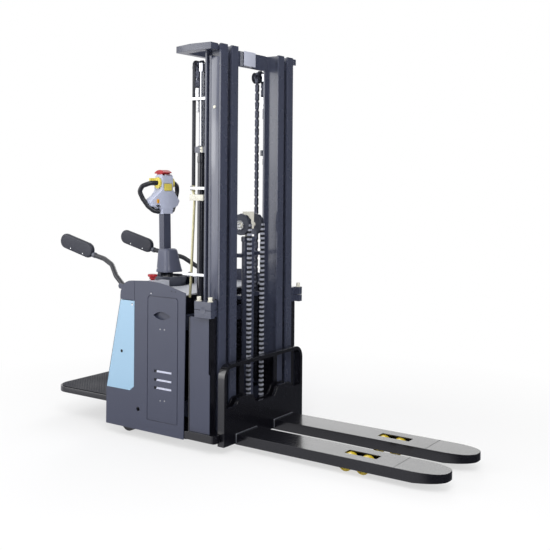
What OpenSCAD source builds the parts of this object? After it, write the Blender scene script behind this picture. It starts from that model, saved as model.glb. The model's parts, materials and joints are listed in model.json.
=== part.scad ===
// Ride-on electric stacker with a two-stage mast, in millimetres.
// X runs forward along the forks, Y to the left of the truck, Z up from the floor.

/* [Forks] */
// Length of a fork, from the carriage face to the tip
fork_len = 1150; // [1000:10:1250]
// Width of one fork
fork_w = 184; // [160:2:200]
// Distance over both forks
fork_spread = 534; // [520:2:560]
// Height of the fork's top face when lowered
fork_top = 88; // [86:1:95]
// Height of the fork's lower edge when lowered
fork_low = 35; // [30:1:42]
// Thickness of the fork's top plate
fork_plate = 6; // [4:0.5:6]
// Thickness of the fork's side walls
fork_wall = 8; // [5:0.5:9]

/* [Mast] */
// Height of the lowered mast
mast_h = 2120; // [2000:10:2300]
// Front face of the mast rails, behind the carriage face
mast_front = -60; // [-62:1:-60]
// Depth of a rail from front to back
rail_d = 106; // [104:1:106]
// Thickness of a rail's flanges
flange_t = 12; // [10:0.5:13]
// Thickness of a rail's web
web_t = 10; // [8:0.5:12]
// Inner edge of the outer rails, from the middle
outer_in = 282; // [280:1:284]
// Width of an outer rail
outer_w = 58; // [56:1:60]
// Inner edge of the inner rails, from the middle
inner_in = 190; // [188:1:192]
// Width of an inner rail
inner_w = 57; // [54:1:58]
// Width of a trunnion block's outer cap
trunnion_w = 31; // [28:1:36]
// Play of a guide roller between its flanges, each side
roller_play = 0.3; // [0.2:0.05:0.5]

/* [Carriage] */
// Width of the backrest bar
carriage_w = 740; // [720:5:745]
// Height of the backrest bar's top edge
arch_z = 460; // [430:5:520]
// Radius of the backrest bar's upper corners
arch_r = 70; // [60:5:100]
// Thickness of the bar that the backrest is bent from
bar_t = 20; // [14:1:24]
// Width of the bar from front to back
bar_d = 43; // [40:1:45]
// Height of the carriage's lower edge
carriage_z = 42; // [40:1:46]
// Thickness of the carriage's front plate
plate_t = 20; // [14:1:22]
// Thickness of the carriage's rear plate
back_plate_t = 12; // [8:1:12]

/* [Body] */
// Width over the side panels
body_w = 834; // [830:2:850]
// Height of the body's lower edge
sill_z = 56; // [50:2:60]
// Rear edge of the body at the skirt
body_rear = -792; // [-800:2:-780]
// Front edge of the side panels
body_front = -222; // [-224:1:-218]
// Height of the body's highest point
body_top = 866; // [860:2:880]
// Thickness of the outer panels
skin_t = 4; // [3:0.5:5]
// Lower edge of the coloured rear corner cover
cover_z0 = 259; // [250:1:280]
// Upper edge of the coloured rear corner cover
cover_z1 = 751; // [740:1:755]
// Seam between the rear corner and the side panel
seam_x = -583; // [-590:1:-575]
// Width of the seams between panels
seam = 1.5; // [1:0.25:2.5]
// Lower edge of the door
door_z0 = 125; // [115:5:140]
// Upper edge of the door
door_z1 = 785; // [760:5:790]
// Rear edge of the door
door_x0 = -484; // [-490:1:-478]
// Front edge of the door
door_x1 = -277; // [-282:1:-272]
// Height of the top deck
deck_z = 795; // [790:1:798]
// Height of the raised rear part of the deck
shelf_z = 835; // [828:1:838]

/* [Wheels] */
// Diameter of a load wheel
load_d = 80; // [76:1:81]
// Width of a load wheel
load_w = 70; // [60:2:80]
// Distance of the rear load axle from the carriage face
load_x = 617; // [600:1:640]
// Distance between the tandem load axles
tandem = 95; // [88:1:110]
// Diameter of the drive wheel
drive_d = 230; // [220:2:240]
// Width of the drive wheel
drive_w = 75; // [60:1:80]
// Diameter of a caster wheel
caster_d = 100; // [90:2:110]
// Radial play of a shaft in its bore
fit = 0.05; // [0.02:0.01:0.1]

/* [Steering and tiller] */
// Distance of the steering axis behind the carriage face
steer_back = 693; // [688:1:698]
// Angle that the tiller is turned to at rest
steer_rest = -15; // [-45:5:45]
// Height of the tiller's hinge
pivot_z = 868; // [866:1:880]
// Lean of the tiller at rest
lean = 2; // [0:0.5:4]
// Distance from the tiller's hinge to the control head
column_len = 338; // [320:2:380]
// Side of the square tiller column
column_w = 50; // [46:1:54]
// Diameter of the grip loops' tube
loop_d = 28; // [24:1:30]

/* [Platform and arms] */
// Width of the standing platform
platform_w = 710; // [650:10:740]
// Length of the standing platform
platform_len = 475; // [420:5:490]
// Thickness of the standing platform
platform_t = 31; // [28:1:35]
// Height of the platform's mat
platform_z = 190; // [185:1:200]
// Thickness of the platform's mat
mat_t = 4; // [3:0.5:5]
// Rear reach of the side arms, behind the carriage face
arm_reach = 1336; // [1300:2:1370]
// Distance of the arm pads from the middle
pad_y = 257; // [245:1:270]
// Diameter of the arm tube
arm_d = 28; // [25:1:32]
// Radius of the pad's round ends
pad_r = 44; // [38:1:48]
// Thickness of an arm pad
pad_t = 30; // [26:1:40]

/* [Lifting gear] */
// Pitch of the leaf chain
pitch = 25.4; // [25.4:0.1:25.6]
// Height of a chain plate
link_h = 20; // [17:0.5:20]
// Width of a lift chain
chain_w = 20; // [16:1:21]
// Pitch radius of the lift chains' wheels
wheel_r = 53; // [50:1:54]
// Height of the lift chains' wheel axle at rest
wheel_z = 1165; // [1150:1:1180]
// Distance of a lift chain from the middle
chain_y = 60; // [56:1:64]
// Pitch radius of the side chain pulleys
pulley_r = 29.5; // [28:0.5:31]
// Height of the side pulleys' axle at rest
pulley_z = 2010; // [2000:1:2020]
// Outside diameter of a side cylinder
barrel_d = 38; // [34:1:40]
// Height of a side cylinder's top
barrel_top = 1591; // [1500:5:1620]
// Diameter of a side cylinder's rod
rod_d = 20; // [16:1:22]
// Outside diameter of the centre cylinder
free_d = 70; // [60:1:74]
// Diameter of the centre cylinder's rod
free_rod_d = 36; // [30:1:40]
// Diameter of the hydraulic hose
hose_d = 20; // [16:1:20]

/* [Hidden] */
$fn = 48;
heel_x = (arm_reach - fork_len) / 2;
rail_back = mast_front - rail_d;
rail_mid = mast_front - rail_d / 2;
channel = rail_d - 2 * flange_t;
roller_d = channel - 2 * roller_play;
outer_out = outer_in + outer_w;
inner_out = inner_in + inner_w;
side_y = body_w / 2;
fork_y = fork_spread / 2 - fork_w / 2;
bed_z = 64;
bed_top = 105;
bed_rear = -300;
bed_front = mast_front - 2;
weld_gap = 0.05;
wing_x = [-215, -45];
nose_r = 20;
post_top = 703;
leg_w = 150;
leg_end = 800;
leg_low = 30;
leg_top = 68;
load_axle_d = 20;
steer_x = -steer_back;
spigot = [-98, 743];
spigot_d = 30;
pipe_d = 14;
tiller_back = 50;
bore_r = 100;
drive_x = -655;
bay_x = -528;
door_gap = 3.5;
motor_d = 140;
pedestal_z = 365;
caster_x = -693;
caster_y = 300;
caster_trail = 24;
platform_rear = -platform_len - 815;
hinge_x = -815;
hinge_z = 172;
hinge_pin_d = 12;
arm_y = 385;
arm_pivot = [-697, 822];
side_cyl = [-220, 300];
side_chain_x = -245;
hose_x = -272;
pulley_y = 270.5;
side_chain_w = 18;
anchor_top = pulley_z - 4 * pitch;
foot_top = pulley_z - 69 * pitch;
lift_x = rail_mid - 14;
carriage_anchor = wheel_z - 37 * pitch;
rear_anchor = wheel_z - 36 * pitch;
cap_z = deck_z - 6.3;
strip = [-137, -123];
pad_front = [-1108, 989];
pad_rear = [-arm_reach + pad_r, 1035.5];

// Placing

// From the carriage face to the middle of the whole truck
module truck() {
    translate([heel_x, 0, 0]) children();
}

module left_side() {
    mirror([0, 1, 0]) children();
}

module both_sides() {
    children();
    left_side() children();
}

// Turned with the steering, its origin on the steering axis
module steered() {
    truck() translate([steer_x, 0, 0]) rotate([0, 0, steer_rest]) children();
}

// Turned with the drive wheel, its origin on the drive wheel's steering axis
module driven() {
    truck() translate([drive_x, 0, 0]) rotate([0, 0, steer_rest]) children();
}

// On the leaning tiller, its origin at the hinge
module on_tiller() {
    steered() translate([-tiller_back, 0, pivot_z]) rotate([0, -lean, 0]) children();
}

// An upright plate from y to y + t, drawn in X and Z
module plate_y(y, t) {
    translate([0, y + t, 0]) rotate([90, 0, 0]) linear_extrude(t) children();
}

// An upright plate from x to x + t, drawn in Y and Z
module plate_x(x, t) {
    translate([x, 0, 0]) rotate([90, 0, 90]) linear_extrude(t) children();
}

module box(x, y, z) {
    translate([x[0], y[0], z[0]]) cube([x[1] - x[0], y[1] - y[0], z[1] - z[0]]);
}

module cyl_y(x, z, y, d) {
    translate([x, y[1], z]) rotate([90, 0, 0]) cylinder(h = y[1] - y[0], d = d);
}

module cyl_x(y, z, x, d) {
    translate([x[0], y, z]) rotate([0, 90, 0]) cylinder(h = x[1] - x[0], d = d);
}

module cyl_z(x, y, z, d) {
    translate([x, y, z[0]]) cylinder(h = z[1] - z[0], d = d);
}

// A round bar between two points
module bar(a, b, d) {
    v = b - a;
    translate(a) rotate([0, acos(v[2] / norm(v)), atan2(v[1], v[0])]) cylinder(h = norm(v), d = d);
}

// A bent tube through the points, with round elbows
module tube_path(points, d) {
    for (i = [0 : len(points) - 2]) bar(points[i], points[i + 1], d);
    for (i = [1 : len(points) - 2]) translate(points[i]) sphere(d = d + 0.8);
}

// Chain and pulleys

// Outline of one link plate, with a waist between its two pins
function link_points() = concat(
    [for (a = [-120 : 30 : 120]) [link_h / 2 * sin(a), pitch + link_h / 2 * cos(a)]],
    [for (a = [60 : 30 : 300]) [link_h / 2 * sin(a), link_h / 2 * cos(a)]]
);

module link(w) {
    rotate([90, 0, 0]) translate([0, 0, -w / 2]) linear_extrude(w) polygon(link_points());
}

// A straight run of leaf chain along +Z from its first pin
module chain_run(links, w) {
    for (i = [0 : links - 1]) translate([0, 0, i * pitch]) link(i % 2 == 0 ? w : w * 0.64);
}

// The links that lie over a wheel of pitch radius r, from its +X side to its -X side
module chain_wrap(r, w) {
    n = max(2, round(180 / (2 * asin(pitch / 2 / r))));
    step = 180 / n;
    for (i = [0 : n - 1]) rotate([0, -i * step, 0]) translate([r, 0, 0])
        rotate([0, -step / 2, 0]) link(i % 2 == 0 ? w * 0.64 : w);
}

// How far the middle of a straight link dips inside pitch radius r
function chord_dip(r) = r * (1 - cos(90 / max(2, round(90 / asin(pitch / 2 / r)))));

// A wheel on the Y axis, bored for its axle, with a groove of width w and root radius root
module sheave(r, w, bore, rim, root) {
    rotate([90, 0, 0]) rotate_extrude() polygon([
        [bore, -w / 2 - rim], [r + 3, -w / 2 - rim], [r + 3, -w / 2 - 0.5],
        [root, -w / 2 - 0.5], [root, w / 2 + 0.5],
        [r + 3, w / 2 + 0.5], [r + 3, w / 2 + rim], [bore, w / 2 + rim]
    ]);
}

// Chassis

function corner_arc() = [for (a = [180 : -15 : 90]) [seam_x - 24 + 83 * cos(a), 776 + 83 * sin(a)]];

// Side view of the whole body
module side_shape() {
    polygon(concat(
        [[body_rear, sill_z], [body_rear + 1, cover_z0 - 4], [seam_x - 107, cover_z1 - 2]],
        corner_arc(),
        [[-485, body_top], [-400, 860], [-340, 850], [-280, 834], [body_front, 819],
        [body_front - 9, sill_z]]
    ));
}

// Side view of the coloured corner cover, smaller by g all round
module cover_shape(g) {
    polygon([
        [body_rear + 3 + g * 1.2, cover_z0 + g], [-612 - g, cover_z0 + g], [seam_x - g, 284],
        [seam_x - g, cover_z1 - g], [seam_x - 106 + g, cover_z1 - g]
    ]);
}

// The band between the body's outline and the same outline moved inward
module rear_band(t) {
    difference() {
        side_shape();
        translate([t, -t]) side_shape();
    }
}

// Side wing of the frame with its post and its rib, welded to the bed and the sill
module frame_wing() {
    box(wing_x, [outer_out + weld_gap, side_y], [bed_z, bed_top]);
    box([-130, -75], [outer_out + 5, side_y - 22], [bed_top - 1, post_top]);
    box([wing_x[0], wing_x[0] + 10], [outer_out + 5, side_y - 17], [bed_top - 1, post_top - 7]);
}

// Rounded nose welded to a wing's front end, outside the backrest bar
module frame_nose() {
    y = side_y - nose_r;
    intersection() {
        union() {
            box([wing_x[1], wing_x[1] + nose_r], [carriage_w / 2 + 5, y], [bed_z, bed_top]);
            cyl_z(wing_x[1], y, [bed_z, bed_top], 2 * nose_r);
        }
        box([wing_x[1] + weld_gap, 0], [outer_out, side_y], [bed_z, bed_top]);
    }
}

module chassis_frame() {
    color("#2b2e36") truck() both_sides() {
        frame_wing();
        frame_nose();
    }
    color("#2b2e36") truck() difference() {
        union() {
            box([bed_rear, bed_front], [-outer_out, outer_out], [bed_z, bed_top]);
            both_sides() {
                box([body_rear + 6, wing_x[0] - weld_gap], [side_y - 22, side_y - skin_t],
                    [sill_z + 4, bed_top - 5]);
                box([-682, -570], [side_y - skin_t - 8, side_y - skin_t], [99, 740]);
                box([-600, -300], [side_y - skin_t - 20, side_y - skin_t - 4], [772, deck_z - 6]);
                box([body_rear + 7, -620], [caster_y - 70, side_y - skin_t], [150, 160]);
            }
            box([bay_x, bed_rear + 1], [-side_y + 22, side_y - 22], [sill_z + 4, 72]);
            box([-306, bed_rear], [-side_y + skin_t + 4, side_y - skin_t - 4], [bed_z, deck_z - 6]);
            box([bay_x, bay_x + 8], [-side_y + skin_t, side_y - skin_t], [sill_z + 4, deck_z - 6]);
            box([body_rear + 2, body_rear + 8], [-side_y + skin_t, side_y - skin_t], [sill_z + 4, cover_z0 - 2]);
            box([-766, bay_x + 1], [-side_y + 10, side_y - 10], [340, 352]);
            both_sides() for (y = [platform_w / 2 - 60, platform_w / 2 - 130])
                box([hinge_x - 12, body_rear + 3], [y, y + 10], [hinge_z - 12, hinge_z + 12]);
        }
        cyl_z(drive_x, 0, [300, 400], 2 * bore_r + 2 * fit);
        both_sides() cyl_z(caster_x, caster_y, [140, 170], 24 + 2 * fit);
        both_sides() cyl_y(hinge_x, hinge_z, [180, 360], hinge_pin_d + 2 * fit);
    }
}

module leg() {
    y = fork_y;
    pocket = load_d / 2 + 6;
    difference() {
        union() {
            box([bed_front, leg_end], [y - leg_w / 2, y + leg_w / 2], [leg_low, leg_top]);
            box([-200, bed_front + 1], [y - leg_w / 2, y + leg_w / 2], [leg_low, bed_z]);
        }
        box([-201, leg_end - 8], [y - leg_w / 2 + 8, y + leg_w / 2 - 8], [leg_low - 1, leg_top - 12]);
        box([load_x - pocket, load_x + tandem + pocket], [y - leg_w / 2 + 8, y + leg_w / 2 - 8],
            [leg_low, leg_top + 1]);
    }
    for (x = [load_x, load_x + tandem])
        cyl_y(x, load_d / 2, [y - leg_w / 2 + 4, y + leg_w / 2 - 4], load_axle_d);
}

module legs() {
    color("#24262c") truck() both_sides() leg();
}

module load_wheel(x, s) {
    color("#e2c43a") truck() translate([x, s * fork_y, load_d / 2]) rotate([90, 0, 0]) difference() {
        cylinder(h = load_w, d = load_d, center = true);
        cylinder(h = load_w + 2, d = load_axle_d + 2 * fit, center = true);
        for (z = [-1, 1]) translate([0, 0, z * load_w / 2]) difference() {
            cylinder(h = 6, d = load_d - 16, center = true);
            cylinder(h = 8, d = load_axle_d + 14, center = true);
        }
    }
}

module door_opening(g) {
    polygon([
        [door_x0 - g, door_z0 - g], [door_x1 + g, door_z0 - g], [door_x1 + g, door_z1 - 12 + g],
        [door_x1 - 10 + g, door_z1 + g], [door_x0 + 10 - g, door_z1 + g], [door_x0 - g, door_z1 - 12 + g]
    ]);
}

module side_panel() {
    plate_y(-side_y, skin_t) difference() {
        side_shape();
        cover_shape(-0.01);
        translate([-900, cover_z1 - 0.01]) square([900 + seam_x, 200]);
        translate([-900, cover_z0]) square([108, 600]);
        door_opening(door_gap);
        translate([-553, 167]) circle(r = 12);
    }
    plate_y(-side_y + skin_t, 4) difference() {
        intersection() {
            door_opening(12);
            translate([-900, 0]) square([900, deck_z - 6.3]);
        }
        door_opening(-10);
    }
}

module side_panels() {
    color("#565b68") truck() both_sides() side_panel();
}

// Height of the three louvre slots, from the lowest
louvres = [300, 343, 389];
handle = [-386, 686];

module door() {
    plate_y(-side_y, skin_t) difference() {
        door_opening(0);
        for (z = louvres) translate([-437, z - 7]) square([121, 14]);
        translate(handle) finger_oval();
    }
    // Angled louvre blades behind the slots
    for (z = louvres) translate([-437, -side_y + skin_t - 1, z - 9]) rotate([-20, 0, 0]) cube([121, 2, 24]);
    // Cup behind the oval finger recess
    difference() {
        plate_y(-side_y + skin_t - 1, 19) translate(handle) square([130, 50], center = true);
        plate_y(-side_y + skin_t - 2, 17) translate(handle) finger_oval();
    }
}

// Oval of the finger recess, about 120 by 42
module finger_oval() {
    intersection() {
        translate([0, -75.2]) circle(r = 96.2);
        translate([0, 75.2]) circle(r = 96.2);
    }
}

module doors() {
    color("#565b68") truck() both_sides() door();
}

module rear_covers() {
    color("#a9d3f5") truck() both_sides() {
        plate_y(-side_y, skin_t) cover_shape(seam);
        plate_y(-side_y + skin_t - 0.01, 76) intersection() {
            rear_band(skin_t);
            translate([-900, cover_z0 + seam]) square([240, cover_z1 - cover_z0 - 2 * seam]);
        }
    }
}

module rear_hood() {
    color("#34373f") truck() {
        difference() {
            union() {
                plate_y(-side_y + skin_t + 76 + seam, body_w - 2 * (skin_t + 76 + seam)) intersection() {
                    rear_band(skin_t);
                    translate([-900, cover_z0 - 2]) square([240, cover_z1 - cover_z0 + 5]);
                }
                plate_y(-side_y + skin_t - 1, body_w - 2 * skin_t + 2) intersection() {
                    rear_band(skin_t);
                    translate([-900, cover_z1 + seam]) square([240, shelf_z - cover_z1 - seam - 0.3]);
                }
            }
            both_sides() box([-712, -640], [arm_y - 16, arm_y + 16], [800, 850]);
            cyl_z(steer_x, 0, [pedestal_z, cap_z], 168);
            cyl_z(steer_x, 0, [cap_z - 12, shelf_z + 10], 2 * bore_r + 26);
        }
        // Round pedestal under the steering bowl, with its bearing pin
        intersection() {
            difference() {
                cyl_z(steer_x, 0, [pedestal_z, cap_z], 176);
                cyl_z(steer_x, 0, [pedestal_z + 4, cap_z - 8], 168);
                cyl_z(drive_x, 0, [pedestal_z - 1, pedestal_z + 5], motor_d + 8);
            }
            union() {
                box([-900, steer_x + 9], [-100, 100], [200, 800]);
                box([-900, -500], [-100, 100], [700, 800]);
            }
        }
        difference() {
            cyl_z(steer_x, 0, [cap_z - 8, cap_z], 2 * bore_r + 32);
            box([-900, steer_x + 3], [-200, 200], [700, 800]);
        }
        cyl_z(steer_x, 0, [cap_z - 1, deck_z + 14], 50);
        both_sides() {
            plate_y(-side_y, skin_t) intersection() {
                side_shape();
                translate([-900, cover_z1 + seam]) square([900 + seam_x - seam, 200]);
            }
            for (y = [arm_y - 25, arm_y + 17.2]) {
                box([arm_pivot[0] - 4, -662], [-y - 8, -y], [807, 833]);
                cyl_y(arm_pivot[0], arm_pivot[1], [-y - 8, -y], 30);
            }
            cyl_y(arm_pivot[0], arm_pivot[1], [-arm_y - 24, -arm_y + 24], 12);
        }
    }
}

module top_cover() {
    color("#b9bcc4") truck() difference() {
        union() {
            box([-656, -600], [-side_y + skin_t, side_y - skin_t], [shelf_z - 4, shelf_z]);
            box([-604, -600], [-side_y + skin_t, side_y - skin_t], [deck_z - 6, shelf_z]);
            box([-604, -306], [-side_y + skin_t, side_y - skin_t], [deck_z - 6, deck_z]);
            cyl_z(-646, -205, [shelf_z - 0.1, shelf_z + 5], 44);
        }
        cyl_z(steer_x, 0, [deck_z - 7, shelf_z + 1], 2 * bore_r + 26);
        box([steer_x, -599], [-bore_r - 13, bore_r + 13], [deck_z + 0.01, shelf_z + 1]);
        cyl_z(-646, -205, [shelf_z - 5, shelf_z + 6], 22 + 2 * fit);
    }
}

module front_covers() {
    color("#565b68") truck() both_sides() {
        box([-202, -78], [-side_y + 14, -side_y + 18], [bed_top, 700]);
        box([-79, -70], [-side_y + 14, -side_y + 18], [bed_top, 410]);
        box([-202, -198], [-side_y + 17, -outer_out - 5], [bed_top, 700]);
    }
}

module top_bow() {
    color("#3a3d46") truck() translate([0, 0, mast_h - 35]) linear_extrude(35) difference() {
        polygon([
            [-80, -400], [-80, 400], [-220, 400], [-350, 358], [-350, -358], [-220, -400]
        ]);
        polygon([
            [-70, -outer_out], [-70, outer_out], [-200, outer_out], [-312, 304], [-312, -304],
            [-200, -outer_out]
        ]);
    }
}

// Section of a mast rail with its web at y from its inner edge
module rail_section(y0, w, web) {
    translate([rail_back, y0]) square([flange_t, w]);
    translate([mast_front - flange_t, y0]) square([flange_t, w]);
    translate([rail_back, y0 + web]) square([rail_d, web_t]);
}

module outer_upright() {
    difference() {
        union() {
            translate([0, 0, bed_top]) linear_extrude(mast_h - bed_top)
                rail_section(outer_in, outer_w, 24);
            // Pipe guard strip on the outside of the web
            box(strip, [outer_in + 24, outer_out], [790, mast_h - 60]);
            // Spigot that the trunnion block holds
            cyl_y(spigot[0], spigot[1], [outer_in + 24, side_y + 10], spigot_d);
        }
        for (z = [1200, 1790]) cyl_y(-100, z, [outer_in + 20, outer_out], 11);
    }
}

module outer_upright_left() {
    color("#3a3d46") truck() outer_upright();
}

module outer_upright_right() {
    color("#3a3d46") truck() left_side() outer_upright();
}

module outer_crossbars() {
    color("#2b2e36") truck() for (z = [[150, 230], [610, 690]]) {
        box([bed_rear, bed_rear + 8], [-outer_out + 2, outer_out - 2], z);
        both_sides() box([bed_rear, rail_back], [outer_out - 14, outer_out - 2], z);
    }
}

module trunnion_blocks() {
    color("#3b3e47") truck() both_sides() difference() {
        union() {
            box([-154, -45], [-side_y - 12, -side_y - 12 + trunnion_w], [post_top, post_top + 84]);
            box([-130, -75], [-side_y - 13 + trunnion_w, -outer_out - 0.3], [post_top, post_top + 84]);
        }
        cyl_y(spigot[0], spigot[1], [-side_y - 13, -outer_out + 1], spigot_d + 2 * fit);
        // Split between the block and its cap
        for (x = [[-155, spigot[0] - 14], [spigot[0] + 14, -44]])
            box(x, [-side_y - 13, -outer_out + 1], [spigot[1] - 1, spigot[1] + 1]);
    }
}

// Lifting cylinders and pipes

module side_barrels() {
    color("#3f434c") truck() both_sides() translate([side_cyl[0], side_cyl[1], bed_top]) difference() {
        union() {
            cylinder(h = barrel_top - bed_top, d = barrel_d);
            translate([0, 0, barrel_top - bed_top - 90]) cylinder(h = 34, d = barrel_d + 4);
        }
        translate([0, 0, 20]) cylinder(h = barrel_top, d = rod_d + 2 * fit);
    }
}

module clamp_bar(z) {
    box([-322, rail_back], [outer_out - 20.5, outer_out - 13], [z - 7, z + 7]);
    box([rail_back - 8, rail_back], [outer_in + 24, outer_out - 13], [z - 7, z + 7]);
}

module mast_clamps() {
    color("#e6e6e0") truck() {
        both_sides() difference() {
            union() {
                box([-245, rail_back], [276, 325], [1553, 1598 - 12]);
            }
            cyl_z(side_cyl[0], side_cyl[1], [1550, 1600], barrel_d + 2 * fit);
        }
        // Anchors of the side chains
        both_sides() {
            clamp_bar(1840);
            box([side_chain_x - 12, side_chain_x + 12], [291, 320], [1833, 1847]);
            cyl_z(side_chain_x, side_cyl[1], [1770, 1860], 12);
            box([side_chain_x - 9, side_chain_x + 9], [290, 310], [1850, anchor_top - link_h / 2 - 0.2]);
        }
        left_side() {
            clamp_bar(1366);
            difference() {
                box([hose_x - 14, hose_x + 14], [305, 320], [1359, 1373]);
                cyl_z(hose_x, side_cyl[1], [1358, 1374], hose_d + 0.4);
            }
            clamp_bar(908);
            box([-290, -276], [side_cyl[1] + pipe_d / 2 + 0.2, 320], [901, 915]);
        }
    }
}

module hydraulic_hose() {
    color("#1c1d21") truck() left_side() translate([hose_x, 0, 0]) {
        cyl_z(0, pulley_y + pulley_r, [1380, pulley_z], hose_d);
        cyl_z(0, pulley_y - pulley_r, [foot_top - 10, pulley_z], hose_d);
        translate([0, pulley_y, pulley_z]) rotate([90, 0, 90]) rotate_extrude(angle = 180)
            translate([pulley_r, 0]) circle(d = hose_d);
    }
}

module rigid_pipe() {
    y = -side_cyl[1];
    color("#b9b13c") truck() {
        tube_path([[hose_x, y, 1350], [hose_x + 8, y, 1300], [-283, y, 905], [-291, y, 780]], pipe_d);
        cyl_z(hose_x, y, [1345, 1379.8], hose_d);
    }
}

module side_rods() {
    color("#c9cbd0") truck() both_sides() {
        cyl_z(side_cyl[0], side_cyl[1], [bed_top + 25, pulley_z - 20], rod_d);
        box([-229.5, -210], [pulley_y - 14, side_cyl[1] + 10], [pulley_z - 24, pulley_z + 20]);
        cyl_x(pulley_y, pulley_z, [hose_x - 14, -212], 16);
    }
}

// The side chain: anchored strand, the turn over the pulley and the long strand
module side_chains() {
    color("#4a4d55") truck() both_sides() translate([side_chain_x, pulley_y, 0]) rotate([0, 0, 90]) {
        translate([pulley_r, 0, anchor_top]) chain_run(4, side_chain_w);
        translate([-pulley_r, 0, foot_top]) chain_run(69, side_chain_w);
        translate([0, 0, pulley_z]) chain_wrap(pulley_r, side_chain_w);
    }
}

module side_pulley() {
    apart = side_chain_x - hose_x;
    translate([side_chain_x, pulley_y, pulley_z]) rotate([0, 0, 90]) {
        sheave(pulley_r, side_chain_w, 8 + fit, 2, pulley_r - link_h / 2 - chord_dip(pulley_r) - 0.2);
        translate([0, apart, 0]) sheave(pulley_r, hose_d, 8 + fit, 2, pulley_r - hose_d / 2 - 0.3);
        difference() {
            cyl_y(0, 0, [5, apart - 5], 30);
            cyl_y(0, 0, [4, apart - 4], 16 + 2 * fit);
        }
    }
}

module side_pulley_left() {
    color("#2a2c31") truck() side_pulley();
}

module side_pulley_right() {
    color("#2a2c31") truck() left_side() side_pulley();
}

// Inner mast

module inner_upright() {
    translate([0, 0, bed_top + 13]) linear_extrude(mast_h - bed_top - 13)
        rail_section(inner_in, inner_w, 24);
    // Guide roller in the outer rail's channel
    cyl_y(rail_mid, 180, [inner_out - 13, outer_in + 22], 24);
    cyl_y(rail_mid, 180, [inner_out + 6, outer_in + 22], roller_d);
}

module inner_upright_left() {
    color("#3a3d46") truck() inner_upright();
}

module inner_upright_right() {
    color("#3a3d46") truck() left_side() inner_upright();
}

module inner_crossbars() {
    color("#33363e") truck() {
        // Crosshead with a folded stiffener
        box([rail_back, rail_back + 14], [-inner_in, inner_in], [mast_h - 85, mast_h]);
        translate([0, 0, mast_h - 83]) linear_extrude(81) polygon([
            [rail_back + 14, -52], [rail_back + 42, -25], [rail_back + 42, 25], [rail_back + 14, 52]
        ]);
        // Foot beam with the anchors of the side chains
        box([rail_back - 12, rail_back], [-inner_out, inner_out], [bed_top + 13, rear_anchor - 10.4]);
        both_sides() {
            box([hose_x - 12, rail_back], [229, 253], [foot_top - 28, foot_top - 10.2]);
            box([rail_back - 40, rail_back], [236, 246], [bed_top + 13, foot_top - 27]);
        }
        box([rail_back, lift_x + 40], [-50, 50], [bed_top + 13, bed_top + 25]);
        both_sides() box([rail_back - 24, rail_back], [chain_y - 12, chain_y + 12],
            [rear_anchor - 26, rear_anchor - 10.2]);
    }
}

module free_barrel() {
    color("#30333b") truck() {
        difference() {
            union() {
                cyl_z(lift_x, 0, [bed_top + 25, 1100], free_d);
                cyl_z(lift_x, 0, [1072, 1096], free_d + 8);
                // Brackets to the inner rails, reaching round the rear chain strands
                for (z = [748, 980]) {
                    box([rail_back - 38, rail_back - 28], [-inner_out + 8, inner_out - 8], [z, z + 22]);
                    box([rail_back - 29, lift_x - 20], [-16, 16], [z, z + 22]);
                    both_sides() box([rail_back - 29, rail_back], [inner_in + 12, inner_out - 8], [z, z + 22]);
                }
            }
            cyl_z(lift_x, 0, [bed_top + 45, 1101], free_rod_d + 2 * fit);
        }
    }
}

module free_rod() {
    color("#d8d9dc") truck() {
        cyl_z(lift_x, 0, [bed_top + 50, wheel_z], free_rod_d);
        box([lift_x - 24, lift_x + 24], [-21, 21], [wheel_z - 22, wheel_z + 72]);
        cyl_y(lift_x, wheel_z, [-chain_y - 24, chain_y + 24], 30);
    }
}

module chain_wheels() {
    color("#3c3f46") truck() both_sides() translate([lift_x, chain_y, wheel_z])
        sheave(wheel_r, chain_w, 15 + fit, 3, wheel_r - link_h / 2 - chord_dip(wheel_r) - 0.2);
}

module lift_chains_front() {
    color("#6a6d75") truck() both_sides()
        translate([lift_x + wheel_r, chain_y, carriage_anchor]) {
            chain_run(36, chain_w);
            translate([-7.5, -chain_w / 2, 36 * pitch]) cube([15, chain_w, pitch - link_h / 2 - 0.3]);
        }
}

module lift_chains_rear() {
    color("#6a6d75") truck() both_sides() translate([lift_x, chain_y, 0]) {
        translate([-wheel_r, 0, rear_anchor]) chain_run(36, chain_w);
        translate([0, 0, wheel_z]) chain_wrap(wheel_r, chain_w);
    }
}

// Carriage and forks

// Upper edge of the lower carriage plates, right half from the middle outward
plate_edge = [[0, 220], [86, 221], [100, 240], [116, 265], [132, 272], [230, 272], [248, 262],
    [262, 242], [282, 235]];

module carriage_profile(half_w) {
    polygon(concat(
        [[-half_w, carriage_z], [half_w, carriage_z], [half_w, 235]],
        [for (i = [len(plate_edge) - 1 : -1 : 0]) plate_edge[i]],
        [for (p = plate_edge) [-p[0], p[1]]],
        [[-half_w, 235]]
    ));
}

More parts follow.
